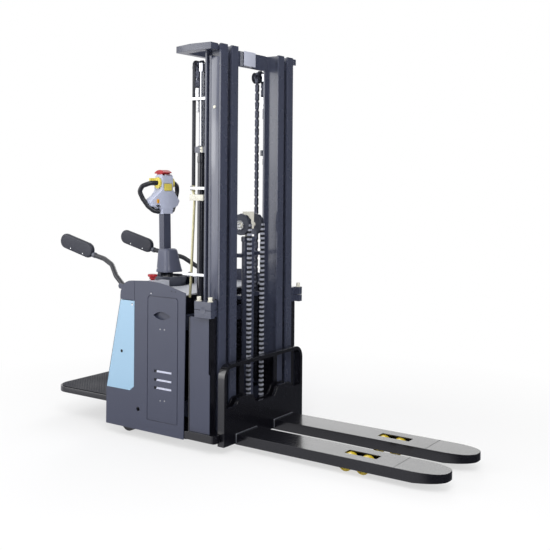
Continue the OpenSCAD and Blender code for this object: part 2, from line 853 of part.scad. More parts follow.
module carriage_plates() {
    leg_room = leg_w / 2 + 12;
    color("#2f3139") truck() difference() {
        union() {
            plate_x(-plate_t, plate_t) carriage_profile(carriage_w / 2 - bar_t);
            plate_x(mast_front + 2, back_plate_t) carriage_profile(carriage_w / 2 - bar_t - 12);
            both_sides() {
                box([mast_front + 13, -plate_t + 1], [300, 312], [carriage_z, 230]);
                box([mast_front + 13, -plate_t + 1], [60, 72], [carriage_z, 215]);
                box([rail_back + 14, mast_front + 3], [152, 164], [bed_top + 15, 430]);
                box([mast_front + 2, mast_front + 14], [140, 176], [240, 430]);
                for (z = [175, 380]) {
                    cyl_y(rail_mid, z, [163, inner_in + 22], 24);
                    cyl_y(rail_mid, z, [170, inner_in + 22], roller_d);
                }
                // Anchor of the front chain
                box([lift_x + wheel_r - 12, mast_front + 3], [chain_y - 12, chain_y + 12],
                    [carriage_anchor - 34, carriage_anchor - 10.2]);
            }
        }
        both_sides() box([mast_front - 1, 1], [fork_y - leg_room, fork_y + leg_room],
            [carriage_z - 1, leg_top + 8]);
    }
}

module arch(w, h, r) {
    translate([-w / 2 + r, 0]) square([w - 2 * r, h]);
    translate([-w / 2, 0]) square([w, h - r]);
    for (s = [-1, 1]) translate([s * (w / 2 - r), h - r]) circle(r = r);
}

module backrest_bar() {
    color("#3a3d46") truck() translate([0, 0, carriage_z]) plate_x(-bar_d, bar_d) difference() {
        arch(carriage_w, arch_z - carriage_z, arch_r);
        translate([0, -1]) arch(carriage_w - 2 * bar_t, arch_z - carriage_z - bar_t + 1, arch_r - bar_t);
    }
}

// Plan of a fork of half width w: parallel, then narrowing to a round tip
function fork_plan(w, tip) = concat(
    [[0, -w]],
    [for (a = [0 : 10 : 90]) [tip - 165 + 165 * sin(a), -w * pow(cos(a), 0.75)]],
    [for (a = [80 : -10 : 0]) [tip - 165 + 165 * sin(a), w * pow(cos(a), 0.75)]],
    [[0, w]]
);

module fork() {
    nose = fork_len - 150;
    difference() {
        translate([0, 0, fork_low]) linear_extrude(fork_top - fork_low)
            polygon(fork_plan(fork_w / 2, fork_len));
        box([-1, nose], [-fork_w / 2 + fork_wall, fork_w / 2 - fork_wall],
            [fork_low - 1, fork_top - fork_plate]);
        // Window over the load wheels
        box([608, 785], [-28, 28], [fork_top - 20, fork_top + 1]);
        // Upturned underside of the nose
        translate([nose, 0, fork_low]) rotate([0, -5, 0]) box([0, 200], [-100, 100], [-30, 0]);
        // Scribed joint of the nose casting
        box([fork_len - 245, fork_len - 244], [-100, 100], [fork_top - 0.8, fork_top + 1]);
    }
}

module fork_left() {
    color("#3a3d46") truck() translate([0, fork_y, 0]) fork();
}

module fork_right() {
    color("#3a3d46") truck() translate([0, -fork_y, 0]) fork();
}

// Inner equipment

module battery() {
    color("#1f2b3a") truck() {
        box([-514, -312], [-350, 350], [72, 620]);
        for (y = [-300, 300]) cyl_z(-413, y, [619, 645], 24);
    }
}

module pump_unit() {
    color("#50535a") truck() {
        cyl_z(-612, -235, [352, 560], 110);
        box([-675, -555], [-300, -175], [559, 700]);
        cyl_z(-612, -235, [699, 715], 60);
    }
}

module drive_unit() {
    color("#4b4e56") driven() {
        cyl_z(0, 0, [325, 353], 2 * bore_r);
        cyl_z(0, 0, [352.2, 360], 2 * bore_r + 16);
        cyl_z(0, 0, [359, 520], motor_d);
        cyl_z(0, 0, [519, 545], 60);
        cyl_z(0, 0, [285, 326], 190);
        box([-50, 50], [drive_w / 2 + 6, drive_w / 2 + 36], [drive_d / 2 - 50, 286]);
        cyl_y(0, drive_d / 2, [drive_w / 2 + 6, drive_w / 2 + 36], 100);
        cyl_y(0, drive_d / 2, [-drive_w / 2 - 1, drive_w / 2 + 8], 40);
    }
}

module drive_wheel() {
    color("#26272b") driven() translate([0, 0, drive_d / 2]) rotate([90, 0, 0]) difference() {
        cylinder(h = drive_w, d = drive_d, center = true, $fn = 96);
        cylinder(h = drive_w + 2, d = 40 + 2 * fit, center = true);
        for (z = [-1, 1]) translate([0, 0, z * drive_w / 2]) difference() {
            cylinder(h = 16, d = drive_d - 70, center = true);
            cylinder(h = 20, d = 80, center = true);
        }
    }
}

module caster_fork() {
    wheel_x = -caster_trail;
    r = caster_d / 2;
    translate([caster_x, caster_y, 0]) {
        cyl_z(0, 0, [r + 70, 168], 24);
        cyl_z(0, 0, [160.3, 168], 44);
        cyl_z(0, 0, [138, 149.7], 60);
        box([wheel_x - 26, 26], [-30, 30], [r + 60, r + 68]);
        cyl_z(0, 0, [r + 66, 140], 50);
        for (y = [-30, 24]) {
            box([wheel_x - 14, wheel_x + 14], [y, y + 6], [r, r + 61]);
            cyl_y(wheel_x, r, [y, y + 6], 28);
        }
        cyl_y(wheel_x, r, [-30, 30], 14);
    }
}

module caster_wheel() {
    translate([caster_x - caster_trail, caster_y, caster_d / 2]) rotate([90, 0, 0]) difference() {
        cylinder(h = 40, d = caster_d, center = true);
        cylinder(h = 42, d = 14 + 2 * fit, center = true);
    }
}

module caster_fork_left() {
    color("#8b8e94") truck() caster_fork();
}

module caster_fork_right() {
    color("#8b8e94") truck() left_side() caster_fork();
}

module caster_wheel_left() {
    color("#5b5d61") truck() caster_wheel();
}

module caster_wheel_right() {
    color("#5b5d61") truck() left_side() caster_wheel();
}

// Steering bowl and tiller

module turntable() {
    color("#23252a") steered() {
        rotate_extrude() polygon([
            [25 + fit, deck_z - 6], [80, deck_z - 6], [88, deck_z - 2], [100, pivot_z - 25],
            [100, pivot_z - 21], [92, pivot_z - 21], [78, deck_z + 6], [40, deck_z + 6],
            [40, deck_z + 14], [25 + fit, deck_z + 14]
        ]);
        box([-tiller_back - 18, 18], [-44, 44], [deck_z + 14.3, pivot_z - 30]);
        both_sides() box([-tiller_back - 18, 18], [41, 44], [deck_z + 4, deck_z + 15]);
        for (y = [-44, column_w / 2 + 4.3]) {
            box([-tiller_back - 16, -tiller_back + 16], [y, y + 14.7], [pivot_z - 31, pivot_z]);
            cyl_y(-tiller_back, pivot_z, [y, y + 14.7], 32);
        }
        cyl_y(-tiller_back, pivot_z, [-44, 44], 16);
    }
}

module tiller_column() {
    h = column_w / 2;
    color("#4a4e59") on_tiller() difference() {
        union() {
            box([-h, h], [-h, h], [14, column_len]);
            cyl_y(0, 0, [-h, h], 40);
        }
        cyl_y(0, 0, [-h - 1, h + 1], 16 + 2 * fit);
    }
}

// One round-cornered outline of the boot, at a height
module boot_ring(x0, x1, w, r, z) {
    translate([0, 0, z]) linear_extrude(1) hull() {
        for (x = [x0 + r, x1 - r], y = [-w + r, w - r]) translate([x, y]) circle(r = r, $fn = 24);
    }
}

module tiller_boot() {
    g = column_w / 2 + 0.3;
    color("#33363e") on_tiller() difference() {
        union() {
            hull() {
                boot_ring(-31, 112, 62, 30, -2);
                boot_ring(-29, 110, 60, 30, 14);
            }
            hull() {
                boot_ring(-29, 110, 60, 30, 14);
                boot_ring(-28, 84, 44, 26, 124);
            }
            hull() {
                boot_ring(-28, 84, 44, 26, 124);
                boot_ring(-27, 76, 36, 20, 134);
            }
        }
        box([-g, g], [-g, g], [-5, 140]);
        hull() {
            boot_ring(-27, 106, 56, 26, -4);
            boot_ring(-26, 84, 50, 24, 60);
        }
    }
}

head_z = column_len - 2;

module head_front() {
    polygon([
        [-36, 0], [36, 0], [36, 32], [86, 46], [102, 76], [39, 142], [39, 226], [26, 240],
        [-26, 240], [-39, 226], [-39, 142], [-102, 76], [-86, 46], [-36, 32]
    ]);
}

module head_side() {
    polygon([
        [-34, 0], [32, 0], [37, 30], [37, 215], [28, 240], [-30, 240], [-52, 200], [-52, 150],
        [-44, 110], [-50, 60], [-42, 28]
    ]);
}

module tiller_head() {
    color("#8f95a8") on_tiller() translate([0, 0, head_z + 2]) difference() {
        intersection() {
            plate_x(-80, 160) head_front();
            plate_y(-130, 260) head_side();
        }
        // Seat and guide of the horn button
        box([33, 40], [-27, 27], [137, 179]);
        cyl_x(0, 158, [18, 34], 10 + 2 * fit);
        // Seat and guide of the belly button
        box([-60, 40], [-31, 31], [228, 241]);
        cyl_z(-8, 0, [206, 229], 16 + 2 * fit);
    }
}

// Points of the left grip loop: out from the head, down and back under it
loop_points = [
    [0, 39, 184], [0, 84, 184], [-20, 130, 168], [-32, 157, 138], [-32, 151, 104],
    [-22, 120, 58], [-8, 92, 22], [0, 70, 14], [0, 36, 14]
];

module tiller_loops() {
    color("#1d1e22") on_tiller() translate([0, 0, head_z + 2]) both_sides()
        tube_path(loop_points, loop_d);
}

module butterfly_switch() {
    color("#e3cb3c") on_tiller() translate([0, 0, head_z + 186]) both_sides() difference() {
        union() {
            cyl_y(0, 0, [40.5, 53], 66);
            box([-52, -8], [43, 53], [8, 30]);
            box([-52, -34], [43, 74], [12, 30]);
        }
        cyl_y(0, 0, [39, 80], loop_d + 2 * fit);
        cyl_y(0, -10, [53, 90], loop_d + 30);
    }
}

module belly_button() {
    color("#b5242c") on_tiller() translate([0, 0, head_z + 2]) {
        intersection() {
            translate([-14, 0, 176]) rotate([90, 0, 0]) cylinder(h = 58, r = 86, center = true, $fn = 96);
            box([-62, 38], [-29, 29], [241.5, 270]);
        }
        box([-40, 20], [-28, 28], [234.5, 242]);
        cyl_z(-8, 0, [213, 235], 16);
    }
}

module horn_button() {
    color("#e3cb3c") on_tiller() translate([0, 0, head_z + 2]) {
        box([36.3, 42], [-26, 26], [138, 178]);
        cyl_x(0, 158, [22, 37], 10);
    }
}

// Platform, arms and stop button

// Plan of the platform, its rear corners rounded by r and the edge drawn in by g
module platform_plan(g, r) {
    x0 = platform_rear + g;
    x1 = hinge_x + 2 - g;
    w = platform_w / 2 - g;
    translate([x0 + r, -w]) square([x1 - x0 - r, 2 * w]);
    translate([x0, -w + r]) square([r + 1, 2 * w - 2 * r]);
    for (s = [-1, 1]) translate([x0 + r, s * (w - r)]) circle(r = r);
}

module platform() {
    z1 = platform_z - mat_t;
    color("#2b2e36") truck() difference() {
        union() {
            translate([0, 0, z1 - platform_t]) linear_extrude(platform_t) platform_plan(0, 100);
            cyl_y(hinge_x, hinge_z, [-platform_w / 2 + 20, platform_w / 2 - 20], 24);
        }
        translate([0, 0, z1 - platform_t - 1]) linear_extrude(platform_t - 7) difference() {
            platform_plan(6, 94);
            for (x = [-1160, -1040, -920]) translate([x, -400]) square([6, 800]);
        }
        both_sides() for (y = [platform_w / 2 - 60, platform_w / 2 - 130]) {
            box([hinge_x - 16, hinge_x + 20], [y - 0.5, y + 10.5], [100, 230]);
        }
        box([hinge_x + 2.01, hinge_x + 40], [-400, 400], [100, 160]);
    }
    color("#2b2e36") truck() both_sides()
        cyl_y(hinge_x, hinge_z, [platform_w / 2 - 140, platform_w / 2 - 30], hinge_pin_d);
}

module platform_mat() {
    color("#1f2024") truck() difference() {
        translate([0, 0, platform_z - mat_t]) linear_extrude(mat_t) platform_plan(10, 90);
        box([hinge_x - 20, hinge_x + 20], [-400, 400], [100, 230]);
    }
}

module arm(s) {
    truck() difference() {
        union() {
            tube_path([
                [arm_pivot[0], s * arm_y, arm_pivot[1]], [-784, s * (arm_y - 30), 868],
                [-858, s * (arm_y - 72), 922], [-958, s * (pad_y + 18), 948],
                [-1056, s * pad_y, 962]
            ], arm_d);
            bar([-1050, s * pad_y, 961], [-1230, s * pad_y, 1006], 16);
            cyl_y(arm_pivot[0], arm_pivot[1], [s * arm_y - 16.6, s * arm_y + 16.6], 30);
        }
        cyl_y(arm_pivot[0], arm_pivot[1], [s * arm_y - 20, s * arm_y + 20], 12 + 2 * fit);
        for (g = [-1, 1]) translate([-720, s * arm_y + g * 26.6, 700]) translate([0, -10, 0]) cube([60, 20, 250]);
    }
}

module arm_left() {
    color("#2a2c31") left_side() arm(-1);
}

module arm_right() {
    color("#2a2c31") arm(-1);
}

module arm_pad(s) {
    length = norm(pad_front - pad_rear);
    tilt = atan2(pad_rear[1] - pad_front[1], pad_rear[0] - pad_front[0]);
    truck() difference() {
        translate([pad_front[0], s * pad_y, pad_front[1]]) rotate([0, -tilt, 0]) {
            for (x = [0, length]) cyl_y(x, 0, [-pad_t / 2, pad_t / 2], 2 * pad_r);
            box([0, length], [-pad_t / 2, pad_t / 2], [-pad_r, pad_r]);
        }
        bar([-1040, s * pad_y, 958.5], [-1232, s * pad_y, 1006.5], 16 + 2 * 0.2);
        bar([-1000, s * pad_y, 954], [-1058, s * pad_y, 962.3], arm_d + 0.6);
    }
}

module arm_pad_left() {
    color("#3b3e47") arm_pad(1);
}

module arm_pad_right() {
    color("#3b3e47") arm_pad(-1);
}

module stop_button() {
    color("#c4242b") truck() translate([-646, -205, shelf_z]) {
        cyl_z(0, 0, [11, 26], 36);
        cyl_z(0, 0, [25, 38], 54);
        cyl_z(0, 0, [-20, 12], 22);
    }
}

chassis_frame();
legs();
side_panels();
doors();
rear_covers();
rear_hood();
top_cover();
front_covers();
outer_upright_left();
outer_upright_right();
outer_crossbars();
top_bow();
trunnion_blocks();
side_barrels();
mast_clamps();
rigid_pipe();
battery();
pump_unit();
inner_upright_left();
inner_upright_right();
inner_crossbars();
free_barrel();
carriage_plates();
backrest_bar();
fork_left();
fork_right();
lift_chains_front();
free_rod();
lift_chains_rear();
chain_wheels();
side_rods();
side_chains();
hydraulic_hose();
side_pulley_left();
side_pulley_right();
turntable();
drive_unit();
drive_wheel();
tiller_column();
tiller_boot();
tiller_head();
tiller_loops();
butterfly_switch();
belly_button();
horn_button();
platform();
platform_mat();
arm_left();
arm_right();
arm_pad_left();
arm_pad_right();
stop_button();
load_wheel(load_x + tandem, 1);  // load_wheel_front_left
load_wheel(load_x + tandem, -1);  // load_wheel_front_right
load_wheel(load_x, 1);  // load_wheel_rear_left
load_wheel(load_x, -1);  // load_wheel_rear_right
caster_fork_left();
caster_fork_right();
caster_wheel_left();
caster_wheel_right();
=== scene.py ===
"""Finishes, fitted detail, light and camera for a ride-on electric stacker."""

import json
import logging
import math
from dataclasses import dataclass, field
from enum import Enum
from typing import Callable, Iterable, Sequence

import bmesh
import bpy
from mathutils import Matrix, Vector

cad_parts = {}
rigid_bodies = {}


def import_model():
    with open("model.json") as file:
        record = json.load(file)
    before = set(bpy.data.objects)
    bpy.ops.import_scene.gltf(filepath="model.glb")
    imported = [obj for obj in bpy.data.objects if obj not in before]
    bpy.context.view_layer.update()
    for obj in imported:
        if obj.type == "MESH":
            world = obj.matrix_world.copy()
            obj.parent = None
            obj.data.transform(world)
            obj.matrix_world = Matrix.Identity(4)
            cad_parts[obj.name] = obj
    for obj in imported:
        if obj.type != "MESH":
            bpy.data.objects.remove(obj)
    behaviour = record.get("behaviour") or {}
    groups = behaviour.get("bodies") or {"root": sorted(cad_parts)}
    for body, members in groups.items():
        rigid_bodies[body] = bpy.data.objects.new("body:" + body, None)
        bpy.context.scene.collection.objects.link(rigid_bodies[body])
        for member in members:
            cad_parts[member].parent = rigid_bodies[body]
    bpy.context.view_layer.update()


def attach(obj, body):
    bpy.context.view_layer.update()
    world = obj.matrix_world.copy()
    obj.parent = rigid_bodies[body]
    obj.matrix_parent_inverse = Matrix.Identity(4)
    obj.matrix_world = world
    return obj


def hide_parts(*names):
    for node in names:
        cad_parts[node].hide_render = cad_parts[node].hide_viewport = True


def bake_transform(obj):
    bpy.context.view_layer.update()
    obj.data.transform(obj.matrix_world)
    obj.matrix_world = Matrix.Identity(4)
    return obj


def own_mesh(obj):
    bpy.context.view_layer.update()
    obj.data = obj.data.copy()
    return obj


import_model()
LOG = logging.getLogger("stacker")

Span = tuple[float, float]  # from one value to another
Spot = tuple[float, float]  # a place on a plane
Point = tuple[float, float, float]

# Driving places: millimetres from the carriage face and degrees, unless a comment says metres

HEEL = 0.093  # metres from the row frame's origin forward to the carriage face
STEER_X = -693.0  # the steering axis
STEER_REST = -15.0  # the tiller's turn at rest
TILT_AXIS: Point = (-50.0, 0.0, 868.0)  # from the steering axis
TILLER_LEAN = -2.0  # the column's lean at rest
HEAD_RISE = 338.0  # from the tilt axis to the head's foot
CHAIN_PITCH = 25.4
CHAIN_WHEEL_X = -127.0  # the chain wheels' axle
CHAIN_WHEEL_Z = 1165.0

# Limits of the hand tools

SAME_POINT = 0.00001  # metres within which two vertices are one
UPWARD = 0.9  # height of a normal above which its face looks up
EDGE_ANGLE = 32.0  # the smallest angle in degrees that is rounded on a node's form
DISH_RIM = 0.28  # share of the radius that a dish leaves
BEND_ROOM = 0.46  # share of a straight run that the bend at either end may take


# Frames


def mm(x: float, y: float, z: float) -> Vector:
    """A point in millimetres from the carriage face, as metres in the row frame."""
    return Vector((x / 1000 + HEEL, y / 1000, z / 1000))


def shift(x: float, y: float, z: float) -> Matrix:
    """A move by millimetres."""
    return Matrix.Translation((x / 1000, y / 1000, z / 1000))


def turn(degrees: float, axis: str) -> Matrix:
    """A turn in degrees about one axis."""
    return Matrix.Rotation(math.radians(degrees), 4, axis)


TRUCK = Matrix.Translation((HEEL, 0, 0))
STEERED = TRUCK @ shift(STEER_X, 0, 0) @ turn(STEER_REST, "Z")
TILLER = STEERED @ shift(*TILT_AXIS) @ turn(TILLER_LEAN, "Y")
HEAD = TILLER @ shift(0, 0, HEAD_RISE)


# Materials


WHITE = (1.0, 1.0, 1.0, 1.0)
SMOOTHEST = 0.03  # the lowest roughness that a finish has
CLEAR_COAT = 0.12  # the roughness of a clear coat
BUMP = 0.6  # how strongly relief bends the light
STREAK = 0.04  # the grain's scale along Z on drawn metal, which stretches it into streaks
BAND_EDGE = (-0.3, 0.5)  # from dark to clear in the painted shade, in the cosine whose crests are at the chain's pins
BAND_SHADE = 0.06  # how much of the colour is left in a band of painted shade


def linear(code: str) -> tuple[float, float, float, float]:
    """Turn an sRGB hex colour into linear values.

    Args:
        code: six hex digits.

    Returns:
        Red, green, blue and an alpha of 1.
    """
    out = []
    for i in (0, 2, 4):
        c = int(code[i : i + 2], 16) / 255
        out.append(c / 12.92 if c <= 0.04045 else ((c + 0.055) / 1.055) ** 2.4)
    return (out[0], out[1], out[2], 1.0)


def empty_tree(owner: bpy.types.Material | bpy.types.World) -> bpy.types.NodeTree:
    """Empty the node tree of a new material or world.

    Args:
        owner: the material or world.

    Returns:
        The node tree, with nothing in it.
    """
    owner.use_nodes = True
    owner.node_tree.nodes.clear()
    return owner.node_tree


def add_node(tree: bpy.types.NodeTree, kind: str, settings: dict | None = None,
             links: dict | None = None) -> bpy.types.Node:
    """Add one shader node.

    Args:
        tree: the material's node tree.
        kind: the node's type name.
        settings: attributes of the node.
        links: for each input, a constant or the socket it is fed from.

    Returns:
        The new node.
    """
    node = tree.nodes.new(kind)
    for key, value in (settings or {}).items():
        setattr(node, key, value)
    for key, value in (links or {}).items():
        if isinstance(value, bpy.types.NodeSocket):
            tree.links.new(value, node.inputs[key])
        else:
            node.inputs[key].default_value = value
    return node


class Surface(Enum):
    """How a surface was made, which sets its relief."""

    POWDER = "powder coat"
    MOULDED = "moulded grain"
    BRUSHED = "drawn or brushed"
    CAST = "sand cast"
    SKIN = "self-skinned foam"
    PLAIN = "smooth"


@dataclass(frozen=True)
class Finish:
    """One finish: its colours, gloss and relief, with every pattern sized in millimetres.

    The colour and its tint mix in clouds of tint_mm, and the roughness goes up and down with them by
    spread. The relief has a grain of grain_mm and a height of relief_mm. A finish with band_mm has
    dark bands of painted shade between the chain's pins, that far apart.
    """

    name: str
    hex_code: str
    surface: Surface = Surface.POWDER
    roughness: float = 0.42
    metallic: float = 0.0
    ior: float = 1.5
    coat: float = 0.0
    tint: str = ""
    tint_mm: float = 180.0
    grain_mm: float = 2.5
    relief_mm: float = 0.05
    spread: float = 0.08
    band_mm: float = 0.0

    def material(self) -> bpy.types.Material:
        """The material of this finish, made once.

        Returns:
            The Blender material.
        """
        found = bpy.data.materials.get(self.name)
        if found:
            return found
        mat = bpy.data.materials.new(self.name)
        tree = empty_tree(mat)
        place = add_node(tree, "ShaderNodeTexCoord").outputs["Object"]
        cloud = add_node(tree, "ShaderNodeTexNoise", links={
            "Vector": place, "Scale": 1000 / self.tint_mm, "Detail": 3.0, "Roughness": 0.6}).outputs["Fac"]
        paint = self.colour(tree, place, cloud)
        grain = self.grain(tree, place)
        low, high = max(SMOOTHEST, self.roughness - self.spread), min(1.0, self.roughness + self.spread)
        gloss = add_node(tree, "ShaderNodeMapRange", links={
            "Value": cloud, "From Min": 0.3, "From Max": 0.7, "To Min": low, "To Max": high})
        bump = add_node(tree, "ShaderNodeBump", links={
            "Strength": BUMP, "Distance": self.relief_mm / 1000, "Height": grain})
        shader = add_node(tree, "ShaderNodeBsdfPrincipled", links={
            "Base Color": paint, "Metallic": self.metallic, "Roughness": gloss.outputs[0],
            "IOR": self.ior, "Coat Weight": self.coat, "Coat Roughness": CLEAR_COAT,
            "Normal": bump.outputs[0]})
        add_node(tree, "ShaderNodeOutputMaterial", links={"Surface": shader.outputs[0]})
        mat.diffuse_color = linear(self.hex_code)
        return mat

    def colour(self, tree: bpy.types.NodeTree, place: bpy.types.NodeSocket,
               cloud: bpy.types.NodeSocket) -> bpy.types.NodeSocket:
        """The colour with its tint, and its bands of painted shade if it has them.

        Args:
            tree: the material's node tree.
            place: the point in the piece's own coordinates.
            cloud: how much of the tint shows.

        Returns:
            The socket that gives the colour.
        """
        mixed = add_node(tree, "ShaderNodeMix", {"data_type": "RGBA"}, {
            0: cloud, 6: linear(self.hex_code), 7: linear(self.tint or self.hex_code)}).outputs[2]
        if not self.band_mm:
            return mixed
        # bands of painted shade between the chain's pins
        high = add_node(tree, "ShaderNodeSeparateXYZ", links={0: place}).outputs["Z"]
        phase = -2 * math.pi * (CHAIN_WHEEL_Z % self.band_mm) / self.band_mm
        angle = add_node(tree, "ShaderNodeMath", {"operation": "MULTIPLY_ADD"}, {
            0: high, 1: 2 * math.pi * 1000 / self.band_mm, 2: phase})
        wave = add_node(tree, "ShaderNodeMath", {"operation": "COSINE"}, {0: angle.outputs[0]})
        keep = add_node(tree, "ShaderNodeMapRange", links={
            "Value": wave.outputs[0], "From Min": BAND_EDGE[0], "From Max": BAND_EDGE[1],
            "To Min": BAND_SHADE, "To Max": 1.0})
        return add_node(tree, "ShaderNodeVectorMath", {"operation": "SCALE"}, {
            0: mixed, "Scale": keep.outputs[0]}).outputs[0]

    def grain(self, tree: bpy.types.NodeTree, place: bpy.types.NodeSocket) -> bpy.types.NodeSocket:
        """The height of the relief: cells on moulded skins, streaks on drawn parts, else a fine noise.

        Args:
            tree: the material's node tree.
            place: the point in the piece's own coordinates.

        Returns:
            The socket that gives the height.
        """
        if self.surface is Surface.BRUSHED:
            place = add_node(tree, "ShaderNodeMapping", links={
                "Vector": place, "Scale": (1.0, 1.0, STREAK)}).outputs[0]
        if self.surface in (Surface.MOULDED, Surface.SKIN):
            return add_node(tree, "ShaderNodeTexVoronoi", links={
                "Vector": place, "Scale": 1000 / self.grain_mm}).outputs["Distance"]
        return add_node(tree, "ShaderNodeTexNoise", links={
            "Vector": place, "Scale": 1000 / self.grain_mm, "Detail": 2.0}).outputs["Fac"]


class Paint:
    """The truck's finishes.

    Moulded plastic has a grain of some 0.4 mm. It is drawn at 0.9 to 1.4 mm here, because finer cells
    don't show at the render's size.
    """

    # Powder-coated sheet steel: satin slate grey with a faint orange peel
    BODY = Finish("slate_powder_coat", "3a3e50", tint="383c4e", roughness=0.36, grain_mm=1.2,
                  relief_mm=0.02, spread=0.02)
    # Powder-coated rolled steel of the mast: graphite, a little lighter and glossier than the body
    MAST = Finish("graphite_powder_coat", "3e4253", tint="3b3f4f", roughness=0.27, coat=0.3, grain_mm=1.2,
                  relief_mm=0.02, spread=0.02)
    # Painted light: the mast's coat made lighter on its flat plates and the column, and laid on smoother, so
    # that they catch the light
    MAST_PAINTED_LIGHT = Finish("gloss_graphite_coat", "484c5e", tint="454959", roughness=0.2, coat=0.9, grain_mm=1.2,
                    relief_mm=0.01, spread=0.02)
    # Powder-coated heavy plate of chassis, carriage and platform: black, with a clear gloss
    FRAME = Finish("black_powder_coat", "101016", tint="0f0f14", roughness=0.24, coat=0.6, grain_mm=1.2,
                   relief_mm=0.02, spread=0.02)
    # Heavy black coat of the forged forks: a sheen on their tops, broken a little where loads slid
    FORK = Finish("black_fork_coat", "111116", tint="131319", roughness=0.2, coat=0.35, grain_mm=1.4,
                  relief_mm=0.03, spread=0.03)
    # Painted highlight: a satin light grey powder coat on the crosshead's folded front, the one pale spot
    # high on the mast, where the fold catches the light
    CROSSHEAD_HIGHLIGHT = Finish("light_grey_powder_coat", "b9bccb", tint="b1b5c5", roughness=0.4, grain_mm=1.2,
                       relief_mm=0.02)
    # Moulded gloss ABS of the corner covers: clean light blue
    BLUE = Finish("light_blue_gloss_abs", "92b4cd", Surface.PLAIN, 0.30, coat=0.3, tint="90b2cb",
                  relief_mm=0.01, spread=0.02)
    # Moulded ABS of the deck: light grey, partly the plastic's tone and partly a painted sheen of its top;
    # its grain takes the gloss off
    DECK = Finish("light_grey_abs", "c3c5cd", Surface.MOULDED, 0.45, tint="b9bcc6", grain_mm=1.2)
    # Moulded ABS of the bowl, its pedestal and the arms' collars: dark grey with a fine grain
    HOOD = Finish("black_abs", "50535f", Surface.MOULDED, 0.32, tint="4c4f5b", grain_mm=1.2, relief_mm=0.03)
    # Moulded nylon of the control head: cool light grey with a fine grain
    HEAD = Finish("grey_nylon", "c2c8de", Surface.MOULDED, 0.38, tint="bbc1d7", grain_mm=1.0, relief_mm=0.03)
    # Moulded soft skin of grip loops and arm tubes: black with a dull shine
    GRIP = Finish("black_soft_grip", "22232b", Surface.MOULDED, 0.36, tint="1f2027", grain_mm=0.9,
                  relief_mm=0.03)
    # Moulded ABS of travel switch and horn: smooth pale yellow with a soft gloss
    YELLOW = Finish("yellow_abs", "e8d765", Surface.PLAIN, 0.34, tint="e2d05a", relief_mm=0.01)
    # The same ABS in orange, on the rocker in the head's wing
    ORANGE = Finish("orange_abs", "dd9a1e", Surface.PLAIN, 0.34, tint="d8951b", relief_mm=0.01)
    # The same ABS in red, on the stop and belly buttons
    RED = Finish("red_abs", "b3282e", Surface.PLAIN, 0.34, tint="aa2228", relief_mm=0.01)
    # Oiled steel of the side chains and of the links over the wheels: dark, with dull bright clouds
    CHAIN = Finish("oiled_chain_steel", "5f6270", Surface.BRUSHED, 0.34, 0.7, tint="484a57", tint_mm=30,
                   grain_mm=1.0)
    # Lift chain steel, light at its pins, with bands of painted shade at the waists of its plates between
    # them
    BRIGHT_CHAIN = Finish("wiped_chain_steel", "c9ccd8", Surface.BRUSHED, 0.38, 0.3, tint="a9acba",
                          tint_mm=20, grain_mm=1.0, band_mm=CHAIN_PITCH)
    # Hard chrome, ground and polished, on the side rods: a near mirror
    CHROME = Finish("hard_chrome", "c9cbd1", Surface.PLAIN, 0.12, 1.0, tint="c4c6cd", relief_mm=0.005)
    # Sprayed gloss enamel of the side barrels and ring nuts: black with clear highlights
    BARREL = Finish("black_gloss_enamel", "23242b", Surface.PLAIN, 0.22, coat=0.6, tint="202127",
                    relief_mm=0.01)
    # Bright zinc plate on clamps, screws, hubs and caster forks: light metal with fine streaks
    ZINC = Finish("bright_zinc_plate", "d3d4d6", Surface.BRUSHED, 0.30, 1.0, tint="bcbdc0", tint_mm=20,
                  grain_mm=0.8)
    # Yellow passivated zinc of the drawn pipe: pale metal with a warm cast
    PIPE = Finish("yellow_zinc_plate", "cdc8a6", Surface.BRUSHED, 0.36, 0.6, tint="c2bc92", tint_mm=30,
                  grain_mm=0.8)
    # Brushed-on cream paint of the free rod's head, the bolt caps and the clip: dull and slightly rough
    CREAM = Finish("cream_paint", "dddbd0", Surface.CAST, 0.45, tint="d0cdbf", grain_mm=2.0)
    # Painted light: a pale coat on the fins behind the louvre slots, so that the slots look lit from behind
    LOUVRE_PAINTED_LIGHT = Finish("pale_louvre_coat", "c4c7d8", Surface.POWDER, 0.5, tint="b4b8cc")
    # Sand-cast iron of wheels, pulleys, pump and drive unit: mid grey metal with a coarse skin
    IRON = Finish("grey_cast_iron", "565964", Surface.CAST, 0.45, 0.5, tint="494b55", grain_mm=2.2,
                  relief_mm=0.08)
    # Moulded cover of the hydraulic hose: dull black rubber, dusty in patches
    HOSE = Finish("black_hose_rubber", "30323c", Surface.MOULDED, 0.55, tint="24252a", grain_mm=1.0)
    # Moulded rubber of the tiller's boot: black under a grey bloom
    RUBBER = Finish("black_rubber", "5a5e72", Surface.MOULDED, 0.42, tint="565a6c", grain_mm=1.4,
                    relief_mm=0.03)
    # Moulded rubber of the mat between its studs: near black, with hardly any shine
    MAT = Finish("studded_mat_rubber", "26272f", Surface.MOULDED, 0.6, ior=1.36, tint="202128", grain_mm=1.4)
    # The same rubber on the studs, trodden a shade lighter
    STUD = Finish("worn_stud_rubber", "2f3039", Surface.MOULDED, 0.55, ior=1.36, tint="2a2b33", grain_mm=1.4)
    # Self-skinned foam of the arm pads: black with a leathery grain
    FOAM = Finish("black_skinned_foam", "2d2f3a", Surface.SKIN, 0.46, ior=1.42, tint="292b35", grain_mm=1.6,
                  relief_mm=0.06)
    # Cast polyurethane of casters and drive wheel: matt near-black
    TYRE = Finish("black_polyurethane", "2b2b30", Surface.CAST, 0.6, tint="28282d", grain_mm=2.0)
    # Cast polyurethane of the load wheels: strong yellow with a soft gloss
    ROLLER = Finish("yellow_polyurethane", "e3c83d", Surface.PLAIN, 0.35, tint="d9bd33", relief_mm=0.02)
